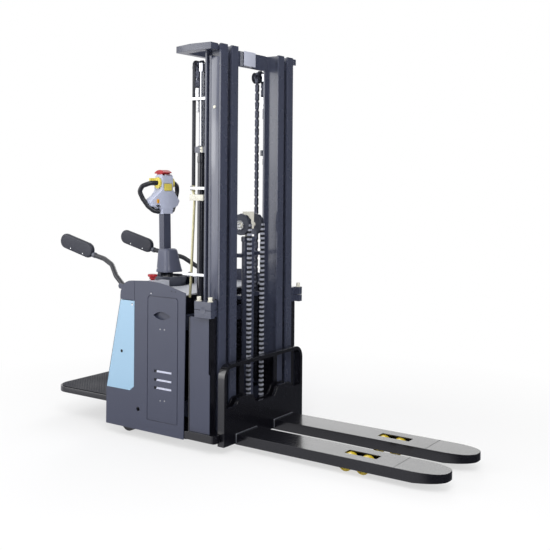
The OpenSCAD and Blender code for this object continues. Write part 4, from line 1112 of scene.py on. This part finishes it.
@dataclass
class Chains:
    """Leaf chains, made of one wide and one narrow link, and the lift hose."""

    pitch: float = CHAIN_PITCH
    high: float = 20.0
    waist: float = 0.78  # of a plate's height
    pin: float = 8.0
    wheel_r: float = 53.0
    wheel_z: float = CHAIN_WHEEL_Z
    lift_x: float = CHAIN_WHEEL_X
    lift_y: float = 60.0
    lift_width: float = 20.0
    front_links: int = 37
    rear_links: int = 36
    front_take_up: float = 750.0  # what the front strands lose on the carriage's way up
    pulley_r: float = 29.5
    pulley_z: float = 2010.0
    pulley_y: float = 270.5
    side_x: float = -245.0
    side_width: float = 18.0
    anchored_links: int = 4
    long_links: int = 69
    long_take_up: float = 700.0  # what long strands and hose lose on the mast's way up
    hose_x: float = -272.0
    hose_d: float = 20.0
    hose_foot: float = 1380.0
    hose_bend_z: float = 1400.0
    hose_slack: float = 10.0  # how far the moving run goes below the long strands
    hose_steps: int = 24
    hose_sides: int = 18
    samples: dict[str, bpy.types.Object] = field(default_factory=dict)

    def link(self, wide: bool, width: float) -> bpy.types.Object:
        """One link from its pin at the origin upward along Z, in the XZ plane.

        Args:
            wide: outer plates, or the narrower inner ones.
            width: the chain's width.

        Returns:
            The sample link, made once.
        """
        key = f"{'outer' if wide else 'inner'}_{width:g}"
        if key in self.samples:
            return self.samples[key]
        r, p = self.high / 2, self.pitch
        ring = [(r * math.sin(a), r * math.cos(a)) for a in map(math.radians, (100, 140, 180, 220, 260))]
        ring += [(-r * self.waist, p * 0.5)]
        ring += [(r * math.sin(a), p + r * math.cos(a)) for a in map(math.radians, (-80, -40, 0, 40, 80))]
        ring += [(r * self.waist, p * 0.5)]
        thick = width * 0.13
        places = (-0.5, -0.065, 0.37) if wide else (-0.3, 0.17)
        parts = [Bench.plate("plate", ring, (width * o, width * o + thick), turn(90, "X"), 0) for o in places]
        if wide:
            reach = width * 0.55
            parts += [Bench.drum("pin", (0, -reach, z), (0, reach, z), self.pin, 0, 8, Matrix.Identity(4))
                      for z in (0, p)]
        self.samples[key] = Bench.join(key, parts)
        return self.samples[key]

    def strand(self, name: str, links: int, width: float, start: Matrix) -> bpy.types.Object:
        """A straight strand.

        Args:
            name: the piece's name.
            links: how many links it has.
            width: the chain's width.
            start: the frame of its first pin, with the chain along Z.

        Returns:
            The joined strand.
        """
        parts = [Bench.copy(self.link(i % 2 == 0, width), start @ shift(0, 0, i * self.pitch))
                 for i in range(links)]
        return Bench.smooth(Bench.join(name, parts), 30)

    def wrap(self, name: str, r: float, width: float, centre: Matrix) -> bpy.types.Object:
        """The links that lie over a wheel.

        Args:
            name: the piece's name.
            r: the wheel's pitch radius.
            width: the chain's width.
            centre: the frame of the wheel's middle, with its axle along Y.

        Returns:
            The joined links.
        """
        n = max(2, round(math.pi / (2 * math.asin(self.pitch / 2 / r))))
        step = math.pi / n
        parts = []
        for i in range(n):
            place = centre @ Matrix.Rotation(-i * step, 4, "Y") @ shift(r, 0, 0)
            parts.append(Bench.copy(self.link(i % 2 == 1, width), place @ Matrix.Rotation(-step / 2, 4, "Y")))
        return Bench.smooth(Bench.join(name, parts), 30)

    def build(self) -> None:
        """Make the strands, the turns over the wheels and the hose."""
        for side, tag in ((1, "left"), (-1, "right")):
            self.lift_chain(side * self.lift_y, tag)
            self.side_chain(side, tag)
        for sample in self.samples.values():
            bpy.data.objects.remove(sample, do_unlink=True)
        self.hose()

    def lift_chain(self, y: float, tag: str) -> None:
        """One lift chain: the front strand, the rear strand and the links over the wheel.

        Args:
            y: its place across the truck.
            tag: the side's name.
        """
        x, r, high, width = self.lift_x, self.wheel_r, self.wheel_z, self.lift_width
        length = self.front_links * self.pitch
        anchor, foot = high - length, high - self.rear_links * self.pitch
        front = self.strand(f"lift_chain_front_{tag}", self.front_links, width,
                            Matrix.Translation(mm(x + r, y, anchor)))
        wear(front, Paint.BRIGHT_CHAIN, "carriage", "chain_steel", "lift_chains_front")
        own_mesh(front)
        rear = self.strand(f"lift_chain_rear_{tag}", self.rear_links, width,
                           Matrix.Translation(mm(x - r, y, foot)))
        coat(rear, Paint.BRIGHT_CHAIN, "chain_steel", "lift_chains_rear")
        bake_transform(rear)
        over = self.wrap(f"lift_chain_turn_{tag}", r, width, Matrix.Translation(mm(x, y, high)))
        wear(over, Paint.CHAIN, "free_lift", "chain_steel")

    def side_chain(self, side: int, tag: str) -> None:
        """One side chain: the anchored strand outside, the links over the pulley and the long strand.

        Args:
            side: 1 for the left, -1 for the right.
            tag: the side's name.
        """
        across = turn(90, "Z")
        top, r, width = self.pulley_z, self.pulley_r, self.side_width
        centre = Matrix.Translation(mm(self.side_x, side * self.pulley_y, top)) @ across
        short = top - self.anchored_links * self.pitch
        outer = self.strand(f"side_chain_anchored_{tag}", self.anchored_links, width,
                            Matrix.Translation(mm(self.side_x, side * (self.pulley_y + r), short)) @ across)
        coat(outer, Paint.CHAIN, "chain_steel", "side_chains")
        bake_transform(outer)
        over = self.wrap(f"side_chain_turn_{tag}", r, width, centre @ Matrix.Diagonal((side, 1, 1, 1)))
        wear(over, Paint.CHAIN, "side_lift", "chain_steel")
        length = self.long_links * self.pitch
        low = top - length
        inner = self.strand(f"side_chain_long_{tag}", self.long_links, width,
                            Matrix.Translation(mm(self.side_x, side * (self.pulley_y - r), low)) @ across)
        wear(inner, Paint.CHAIN, "inner_mast", "chain_steel")
        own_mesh(inner)

    def hose_run(self, name: str, low: float, y: float) -> bpy.types.Object:
        """One straight run of the hose, up to the pulley's middle.

        Args:
            name: the piece's name.
            low: its lower end.
            y: its place across the truck.

        Returns:
            The run.
        """
        r, steps, top = self.hose_d / 2, self.hose_steps, self.pulley_z
        sections = [(low + (top - low) * i / steps, 0, r, r) for i in range(steps + 1)]
        return Bench.rings(name, sections, Matrix.Translation(mm(self.hose_x, y, 0)), 1.0, self.hose_sides)

    def hose(self) -> None:
        """The lift hose: its fixed run, the turn over the pulley and its moving run."""
        x, y, r, top = self.hose_x, -self.pulley_y, self.pulley_r, self.pulley_z
        fixed = self.hose_run("hose_fixed_run", self.hose_foot, y - r)
        coat(fixed, Paint.HOSE, "hose_rubber", "hydraulic_hose")
        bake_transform(fixed)
        path = [(x, y - r, top - 1), (x, y - r, top + r), (x, y + r, top + r), (x, y + r, top - 1)]
        over = Bench.tube("hose_turn", path, self.hose_d, r - 0.4, sides=self.hose_sides, steps=10)
        wear(over, Paint.HOSE, "side_lift", "hose_rubber")
        low = top - self.long_links * self.pitch - self.hose_slack
        moving = self.hose_run("hose_moving_run", low, y + r)
        wear(moving, Paint.HOSE, "inner_mast", "hose_rubber")
        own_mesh(moving)


@dataclass
class Carriage:
    """Carriage plates, backrest bar and forks."""

    edge: float = 1.5
    fork_y: float = 175.0
    weld_x: float = 2.0
    weld_y: Span = (-94.0, 90.0)  # from the fork's middle
    weld_z: Span = (46.0, 90.0)
    bead_d: float = 6.0
    bead_bend: float = 5.0

    def build(self) -> None:
        """Dress the carriage."""
        for node, finish in (("carriage_plates", Paint.FRAME), ("backrest_bar", Paint.FRAME),
                             ("fork_left", Paint.FORK), ("fork_right", Paint.FORK)):
            dressed(node, finish, "carriage", "fork_paint", self.edge)
        self.welds()

    def welds(self) -> None:
        """Bare weld beads where each fork meets the carriage plate: along its top and down its right side."""
        x, (right, left), (low, top) = self.weld_x, self.weld_y, self.weld_z
        beads = []
        for y in (-self.fork_y, self.fork_y):
            path = [(x, y + right, low), (x, y + right, top), (x, y + left, top)]
            beads.append(Bench.tube("bead", path, self.bead_d, self.bead_bend, sides=10, steps=4))
        wear(Bench.join("heel_welds", beads), Paint.WELD, "carriage", "fork_paint")


@dataclass
class Running:
    """Load wheels, casters and drive unit, each with the rounding of its edges."""

    roller_edge: float = 1.5
    caster_fork_edge: float = 0.8
    caster_edge: float = 2.0
    drive_unit_edge: float = 1.5
    drive_wheel_edge: float = 2.5

    def build(self) -> None:
        """Dress the wheels and the drive unit."""
        for end in ("front", "rear"):
            for side in ("left", "right"):
                dressed(f"load_wheel_{end}_{side}", Paint.ROLLER, f"load_{end}_{side}", "yellow_wheel",
                        self.roller_edge)
        for side in ("left", "right"):
            dressed(f"caster_fork_{side}", Paint.ZINC, f"caster_{side}", "zinc_pipe", self.caster_fork_edge)
            dressed(f"caster_wheel_{side}", Paint.TYRE, f"caster_roll_{side}", "dark_tyre", self.caster_edge)
        dressed("drive_unit", Paint.IRON, "drive_turn", "motor_casting", self.drive_unit_edge)
        dressed("drive_wheel", Paint.TYRE, "drive", "dark_tyre", self.drive_wheel_edge)


@dataclass
class Controls:
    """Steering bowl, tiller and its switches, drawn in the tiller's and the head's own frames."""

    lobe_y: float = 80.0
    lobe_back: float = 26.0
    boot_high: float = 130.0
    boot_square: float = 0.55
    boot_sides: int = 48
    boot_sections: tuple[tuple[float, ...], ...] = (
        (-2, 40, 71, 62), (6, 40, 72, 62.5), (14, 40, 69, 60), (35, 37, 66, 57), (60, 34, 62.5, 53.5),
        (85, 31.5, 60, 50), (108, 29, 57, 46.5), (122, 27.5, 55, 44), (130, 26, 51, 40), (134, 25, 45, 34),
        (134.5, 14, 34, 28))
    boot_screw: Point = (8.0, 57.0, 22.0)
    rocker: tuple[Span, Span, Span] = ((18, 32), (-69, -57), (64, 88))
    slit: tuple[Span, Span, Span] = ((24, 33), (-76, -56), (52, 54.4))
    slit_step: Spot = (3.0, -6.0)  # from slit to slit, in Y and Z
    slits: int = 3
    grip_path: tuple[Point, ...] = (
        (-8, 39, 184), (-22, 84, 184), (-50, 122, 168), (-64, 134, 136), (-56, 116, 92), (-38, 92, 48),
        (-16, 66, 20), (0, 36, 14))
    grip_d: float = 28.0
    grip_bend: float = 30.0

    def build(self) -> None:
        """Dress the tiller."""
        dressed("turntable", Paint.HOOD, "steering", "dark_hood_plastic", 1.0)
        # the column wears the mast coat's lighter copy: painted light
        dressed("tiller_column", Paint.MAST_PAINTED_LIGHT, "tiller", "mast_paint", 3.0)
        self.head()
        dressed("butterfly_switch", Paint.YELLOW, "travel_switch", "yellow_plastic", 1.5)
        dressed("belly_button", Paint.RED, "belly_switch", "red_plastic", 2.0, outer=True)
        dressed("horn_button", Paint.YELLOW, "horn_switch", "yellow_plastic", 1.5)
        dressed("stop_button", Paint.RED, "emergency_stop", "red_plastic", 3.0, outer=True)
        self.boot()
        self.loops()
        self.trim()

    def head(self) -> None:
        """The head, with its two lobes drawn back toward the rider."""
        head = dressed("tiller_head", Paint.HEAD, "tiller", "grey_head_plastic", 3.5, outer=True)
        inside, lobe = HEAD.inverted(), self.lobe_y / 1000
        Bench.enter(head)
        Bench.pick(head, Pick.EDGES, lambda a, b: min(abs((inside @ a).y), abs((inside @ b).y)) > lobe)
        bpy.ops.transform.translate(value=HEAD.to_3x3() @ Vector((-self.lobe_back / 1000, 0, 0)))
        bpy.ops.mesh.select_all(action="SELECT")
        bpy.ops.mesh.normals_make_consistent(inside=False)
        Bench.leave()
        Bench.smooth(head, 40)

    def boot(self) -> None:
        """The flexible boot round the column's foot."""
        boot = Bench.rings("tiller_boot_skin", self.boot_sections, TILLER, self.boot_square, self.boot_sides)
        coat(boot, Paint.RUBBER, "boot_rubber", "tiller_boot")
        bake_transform(boot)

    def loops(self) -> None:
        """The two grip loops."""
        loops = [Bench.tube("grip_loops", [(x, side * y, z) for x, y, z in self.grip_path], self.grip_d,
                            self.grip_bend, HEAD, sides=24, steps=6) for side in (1, -1)]
        wear(Bench.join("grip_loops", loops), Paint.GRIP, "tiller", "grip_plastic", "tiller_loops")

    def trim(self) -> None:
        """The boot's screws, and the rocker and slits on one wing of the head; the slits are dark blocks of
        painted shade.
        """
        x, y, z = self.boot_screw
        screws = [Bench.screw("boot_screw", (x, side * y, z), (0, side, 0.1), d=8, high=2.5, base=TILLER)
                  for side in (1, -1)]
        wear(Bench.join("boot_screws", screws), Paint.ZINC, "steering", "white_clamp")
        rocker = Bench.block("wing_rocker", *self.rocker, soft=2.0, base=HEAD, steps=3)
        wear(rocker, Paint.ORANGE, "tiller", "yellow_plastic")
        x, y, z = self.slit
        # painted shade: dark blocks for the wing's slits
        slits = []
        for i in range(self.slits):
            aside, down = (i * step for step in self.slit_step)
            slits.append(Bench.block("slit", x, (y[0] + aside, y[1] + aside), (z[0] + down, z[1] + down),
                                     soft=0.5, base=HEAD))
        wear(Bench.join("wing_slits", slits), Paint.PAINTED_SHADE, "tiller", "dark_hood_plastic")


@dataclass
class Standing:
    """Platform, mat and side arms."""

    stud_pitch: float = 20.0
    stud_rows: int = 22
    stud_columns: int = 33
    stud_r: float = 5.2
    stud_high: float = 1.6
    stud_top: float = 0.72  # of its foot's width
    stud_x: float = -1262.0
    stud_z: float = 190.5
    corner: Spot = (-1190.0, 255.0)  # middle of the mat's rounded rear corner, from the row frame's origin
    corner_r: float = 78.0
    arm_path: tuple[Point, ...] = ((-697, 385, 822), (-784, 355, 868), (-858, 313, 922), (-958, 275, 948),
                                   (-1056, 257, 962))
    arm_d: float = 28.0
    arm_bend: float = 90.0
    hub_half: float = 16.6
    hub_d: float = 30.0
    tongue: tuple[Spot, Spot] = ((-1050, 961), (-1230, 1006))
    tongue_d: float = 16.0
    collar: tuple[Spot, Spot] = ((-1046, 960.5), (-1066, 965))
    collar_d: float = 33.0
    pad: tuple[Spot, Spot] = ((-1108, 989), (-1292, 1035.5))
    pad_r: float = 44.0
    pad_half: float = 15.0
    pad_crown: float = 11.0
    pad_fill: float = 0.9
    pad_screws: Span = (26.0, 132.0)
    pad_screw_y: float = -27.0
    pad_screw_seat: float = 14.6

    def build(self) -> None:
        """Dress the platform and the arms."""
        dressed("platform", Paint.FRAME, "standing_platform", "dark_frame_paint", 2.0)
        dressed("platform_mat", Paint.MAT, "standing_platform", "mat_rubber", 1.0)
        self.studs()
        for side, tag in ((1, "left"), (-1, "right")):
            self.arm(side, tag)
            self.foam(side, tag)

    def studs(self) -> None:
        """The mat's rows of low studs, staggered: one stud is repeated by two arrays, for each half."""
        pitch, width = self.stud_pitch, (self.stud_columns - 1) * self.stud_pitch
        arrays = (((pitch / 1000, 0, 0), self.stud_rows), ((0, pitch / 1000, 0), self.stud_columns))
        rows = []
        for offset in (0.0, 0.5):
            Bench.clear()
            bpy.ops.mesh.primitive_cylinder_add(vertices=8, radius=self.stud_r / 1000,
                                                depth=self.stud_high / 1000)
            stud = Bench.named("mat_studs")
            Bench.enter(stud)
            Bench.pick(stud, Pick.FACES, looks_up)
            bpy.ops.transform.resize(value=(self.stud_top, self.stud_top, 1))
            Bench.leave()
            for step, count in arrays:
                array = stud.modifiers.new("row", "ARRAY")
                array.use_relative_offset, array.use_constant_offset = False, True
                array.count = count
                array.constant_offset_displace = step
                bpy.ops.object.modifier_apply(modifier=array.name)
            start = mm(self.stud_x + offset * pitch, -width / 2 + (offset - 0.25) * pitch, self.stud_z)
            stud.data.transform(Matrix.Translation(start))
            rows.append(stud)
        studs = Bench.join("mat_studs", rows)
        Bench.enter(studs)
        Bench.pick(studs, Pick.FACES, self.off_corner)
        bpy.ops.mesh.delete(type="FACE")
        Bench.leave()
        wear(Bench.smooth(studs), Paint.STUD, "standing_platform", "mat_rubber")

    def off_corner(self, middle: Vector, normal: Vector) -> bool:
        """Whether a face lies outside the rounded rear corners of the mat."""
        x, y = (middle.x - HEEL) * 1000 - self.corner[0], abs(middle.y) * 1000 - self.corner[1]
        return x < 0 and y > 0 and math.hypot(x, y) > self.corner_r

    def arm(self, side: int, tag: str) -> None:
        """One bent arm tube with its hub, the tongue that carries the pad and the collar between them.

        Args:
            side: 1 for the left, -1 for the right.
            tag: the side's name.
        """
        path = [(x, side * y, z) for x, y, z in self.arm_path]
        (x, y, z), aside, half = path[0], path[-1][1], self.hub_half
        tube = Bench.tube(f"arm_tube_{tag}", path, self.arm_d, self.arm_bend, sides=24)
        hub = Bench.drum(f"arm_hub_{tag}", (x, y - half, z), (x, y + half, z), self.hub_d, 1.0)
        ends = [(x, aside, z) for x, z in self.tongue]
        tongue = Bench.drum(f"arm_tongue_{tag}", *ends, self.tongue_d, 0.5, sides=20)
        ends = [(x, aside, z) for x, z in self.collar]
        collar = Bench.drum(f"arm_collar_{tag}", *ends, self.collar_d, 2.0, sides=28)
        wear(Bench.join(f"arm_tube_{tag}", [tube, hub, tongue]), Paint.GRIP, f"side_arm_{tag}",
             "dark_frame_paint", f"arm_{tag}")
        wear(collar, Paint.HOOD, f"side_arm_{tag}", "dark_hood_plastic")

    def foam(self, side: int, tag: str) -> None:
        """One crowned foam pad with round ends, and its screws.

        Args:
            side: 1 for the left, -1 for the right.
            tag: the side's name.
        """
        a, b = (Vector((x, 0, z)) for x, z in self.pad)
        along = (b - a).normalized()
        up = Vector((0, 1, 0)).cross(along)
        base = TRUCK @ shift(a.x, side * self.arm_path[-1][1], a.z) @ Matrix(
            ((along.x, up.x, 0, 0), (0, 0, 1, 0), (along.z, up.z, 0, 0), (0, 0, 0, 1)))
        length, r, half = (b - a).length, self.pad_r, self.pad_half
        half_turn = [math.pi * i / 12 for i in range(13)]
        ring = [(length + r * math.sin(t), r * math.cos(t)) for t in half_turn]
        ring += [(-r * math.sin(t), -r * math.cos(t)) for t in half_turn]
        pad = Bench.plate(f"arm_pad_{tag}_foam", ring, (-half, half), base, self.pad_crown, steps=5)
        wear(pad, Paint.FOAM, f"side_arm_{tag}", "pad_foam", f"arm_pad_{tag}")
        v, w = self.pad_screw_y, self.pad_screw_seat
        screws = [Bench.screw("pad_screw", (u, v, face * w), (0, 0, face), d=9, high=2.2, base=base)
                  for face in (1, -1) for u in self.pad_screws]
        wear(Bench.join(f"pad_screws_{tag}", screws), Paint.ZINC, f"side_arm_{tag}", "white_clamp")


# Studio


@dataclass(frozen=True)
class Lamp:
    """One square soft lamp that faces the truck, with its place and side in metres."""

    name: str
    place: Point
    size: float
    watts: float

    def hang(self, aim: Point) -> None:
        """Put the lamp up.

        Args:
            aim: the point that it faces.
        """
        data = bpy.data.lights.new(self.name, "AREA")
        data.energy, data.size = self.watts, self.size
        lamp = bpy.data.objects.new(self.name, data)
        bpy.context.collection.objects.link(lamp)
        lamp.location = self.place
        lamp.rotation_euler = (Vector(aim) - Vector(self.place)).to_track_quat("-Z", "Y").to_euler()


@dataclass
class Studio:
    """Floor, light and camera. The pixel values are those of the photograph, 550 pixels square."""

    eye: Point = (2746.7, -3945.87, 1412.51)
    azimuth: float = 34.348
    roll: float = 0.431
    focal_px: float = 882.14
    horizon_px: float = 179.98
    frame_px: float = 550.0
    sensor: float = 36.0
    clip_end: float = 200.0
    fill: float = 0.45
    sheen: float = 0.12
    sheen_colour: tuple[float, ...] = (0.86, 0.9, 1.0, 1)
    wall: Span = (0.3, -0.3)  # from dark to white, in the X of the direction that gloss looks in
    floor_r: float = 60.0
    floor_fade: Span = (1.1, 2.6)  # metres from the origin between which the floor turns white
    floor_white: float = 0.62  # share of white before that
    floor_colour: tuple[float, ...] = (0.9, 0.9, 0.91, 1)
    floor_in_gloss: tuple[float, ...] = (0.62, 0.62, 0.66, 1)
    aim: Point = (0, 0, 0.9)
    lamps: tuple[Lamp, ...] = (
        Lamp("key", (2.6, -3.2, 4.2), 3.0, 165),
        Lamp("fill", (-3.5, -3.0, 3.0), 3.0, 60),
        Lamp("rim", (-1.5, 4.0, 3.5), 2.5, 60),
        Lamp("left_box", (-2.9, -4.4, 1.0), 3.5, 70),
        Lamp("near_panel", (4.2, -2.8, 1.8), 2.0, 36),
        Lamp("tip_panel", (-1.2, 4.2, 1.7), 2.5, 9))

    def build(self) -> None:
        """Set the floor, the world, the lamps and the camera."""
        self.floor()
        self.world()
        for lamp in self.lamps:
            lamp.hang(self.aim)
        self.camera()

    def floor(self) -> None:
        """A pale floor that takes the truck's shadow and fades to white far away."""
        Bench.clear()
        bpy.ops.mesh.primitive_circle_add(vertices=96, radius=self.floor_r, fill_type="NGON",
                                          location=(0, 0, 0))
        floor = Bench.named("floor")
        mat = bpy.data.materials.new("pale_floor")
        tree = empty_tree(mat)
        place = add_node(tree, "ShaderNodeTexCoord").outputs["Object"]
        far = add_node(tree, "ShaderNodeVectorMath", {"operation": "LENGTH"}, {0: place})
        fade = add_node(tree, "ShaderNodeMapRange", links={
            "Value": far.outputs["Value"], "From Min": self.floor_fade[0], "From Max": self.floor_fade[1],
            "To Min": self.floor_white, "To Max": 1.0})
        ray = add_node(tree, "ShaderNodeLightPath")
        share = add_node(tree, "ShaderNodeMath", {"operation": "MULTIPLY"}, {
            0: fade.outputs[0], 1: ray.outputs["Is Camera Ray"]})
        matte = add_node(tree, "ShaderNodeBsdfDiffuse", links={"Color": self.floor_colour})
        white = add_node(tree, "ShaderNodeEmission", links={"Color": WHITE, "Strength": 1.0})
        mix = add_node(tree, "ShaderNodeMixShader", links={
            0: share.outputs[0], 1: matte.outputs[0], 2: white.outputs[0]})
        gone = add_node(tree, "ShaderNodeBsdfTransparent", links={"Color": self.floor_in_gloss})
        through = add_node(tree, "ShaderNodeMixShader", links={
            0: ray.outputs["Is Glossy Ray"], 1: mix.outputs[0], 2: gone.outputs[0]})
        add_node(tree, "ShaderNodeOutputMaterial", links={"Surface": through.outputs[0]})
        floor.data.materials.append(mat)

    def world(self) -> None:
        """A soft even world, white to the camera, through glass and in gloss but for the dark side ahead."""
        world = bpy.data.worlds.new("studio")
        bpy.context.scene.world = world
        tree = empty_tree(world)
        path = add_node(tree, "ShaderNodeLightPath")
        way = add_node(tree, "ShaderNodeTexCoord").outputs["Object"]
        across = add_node(tree, "ShaderNodeSeparateXYZ", links={0: way}).outputs["X"]
        wall = add_node(tree, "ShaderNodeMapRange", {"interpolation_type": "SMOOTHSTEP"}, {
            "Value": across, "From Min": self.wall[0], "From Max": self.wall[1],
            "To Min": 0.0, "To Max": 1.0})
        shine = add_node(tree, "ShaderNodeMath", {"operation": "MULTIPLY"}, {
            0: path.outputs["Is Glossy Ray"], 1: wall.outputs[0]})
        seen = add_node(tree, "ShaderNodeMath", {"operation": "MAXIMUM"}, {
            0: path.outputs["Is Camera Ray"], 1: path.outputs["Is Transmission Ray"]})
        clear = add_node(tree, "ShaderNodeMath", {"operation": "MAXIMUM"}, {
            0: seen.outputs[0], 1: shine.outputs[0]})
        soft, white, room = (
            add_node(tree, "ShaderNodeBackground", links={"Color": colour, "Strength": strength})
            for colour, strength in ((WHITE, self.fill), (WHITE, 1.0), (self.sheen_colour, self.sheen)))
        lit = add_node(tree, "ShaderNodeMixShader", links={
            0: path.outputs["Is Glossy Ray"], 1: soft.outputs[0], 2: room.outputs[0]})
        mix = add_node(tree, "ShaderNodeMixShader", links={
            0: clear.outputs[0], 1: lit.outputs[0], 2: white.outputs[0]})
        add_node(tree, "ShaderNodeOutputWorld", links={"Surface": mix.outputs[0]})

    def camera(self) -> None:
        """The camera where the photograph was taken from."""
        data = bpy.data.cameras.new("camera")
        data.sensor_width, data.lens = self.sensor, self.focal_px / self.frame_px * self.sensor
        data.shift_y = (self.horizon_px - self.frame_px / 2) / self.frame_px
        data.clip_end = self.clip_end
        cam = bpy.data.objects.new("camera", data)
        bpy.context.collection.objects.link(cam)
        cam.matrix_world = (Matrix.Translation(mm(*self.eye)) @ turn(self.azimuth, "Z") @ turn(90, "X")
                            @ turn(self.roll, "Z"))
        bpy.context.scene.camera = cam


def main() -> None:
    """Build every sub-assembly in order and report its pieces."""
    logging.basicConfig(level=logging.INFO, format="%(message)s")
    for part in (Studio(), Chassis(), Mast(), Chains(), Carriage(), Running(), Controls(), Standing()):
        known = {obj.name for obj in bpy.data.objects}
        part.build()
        for name in sorted({obj.name for obj in bpy.data.objects} - known):
            LOG.info("%s: %s", type(part).__name__, name)
    bpy.context.scene.view_settings.view_transform = "Standard"
    Bench.clear()


if __name__ == "__main__":
    main()
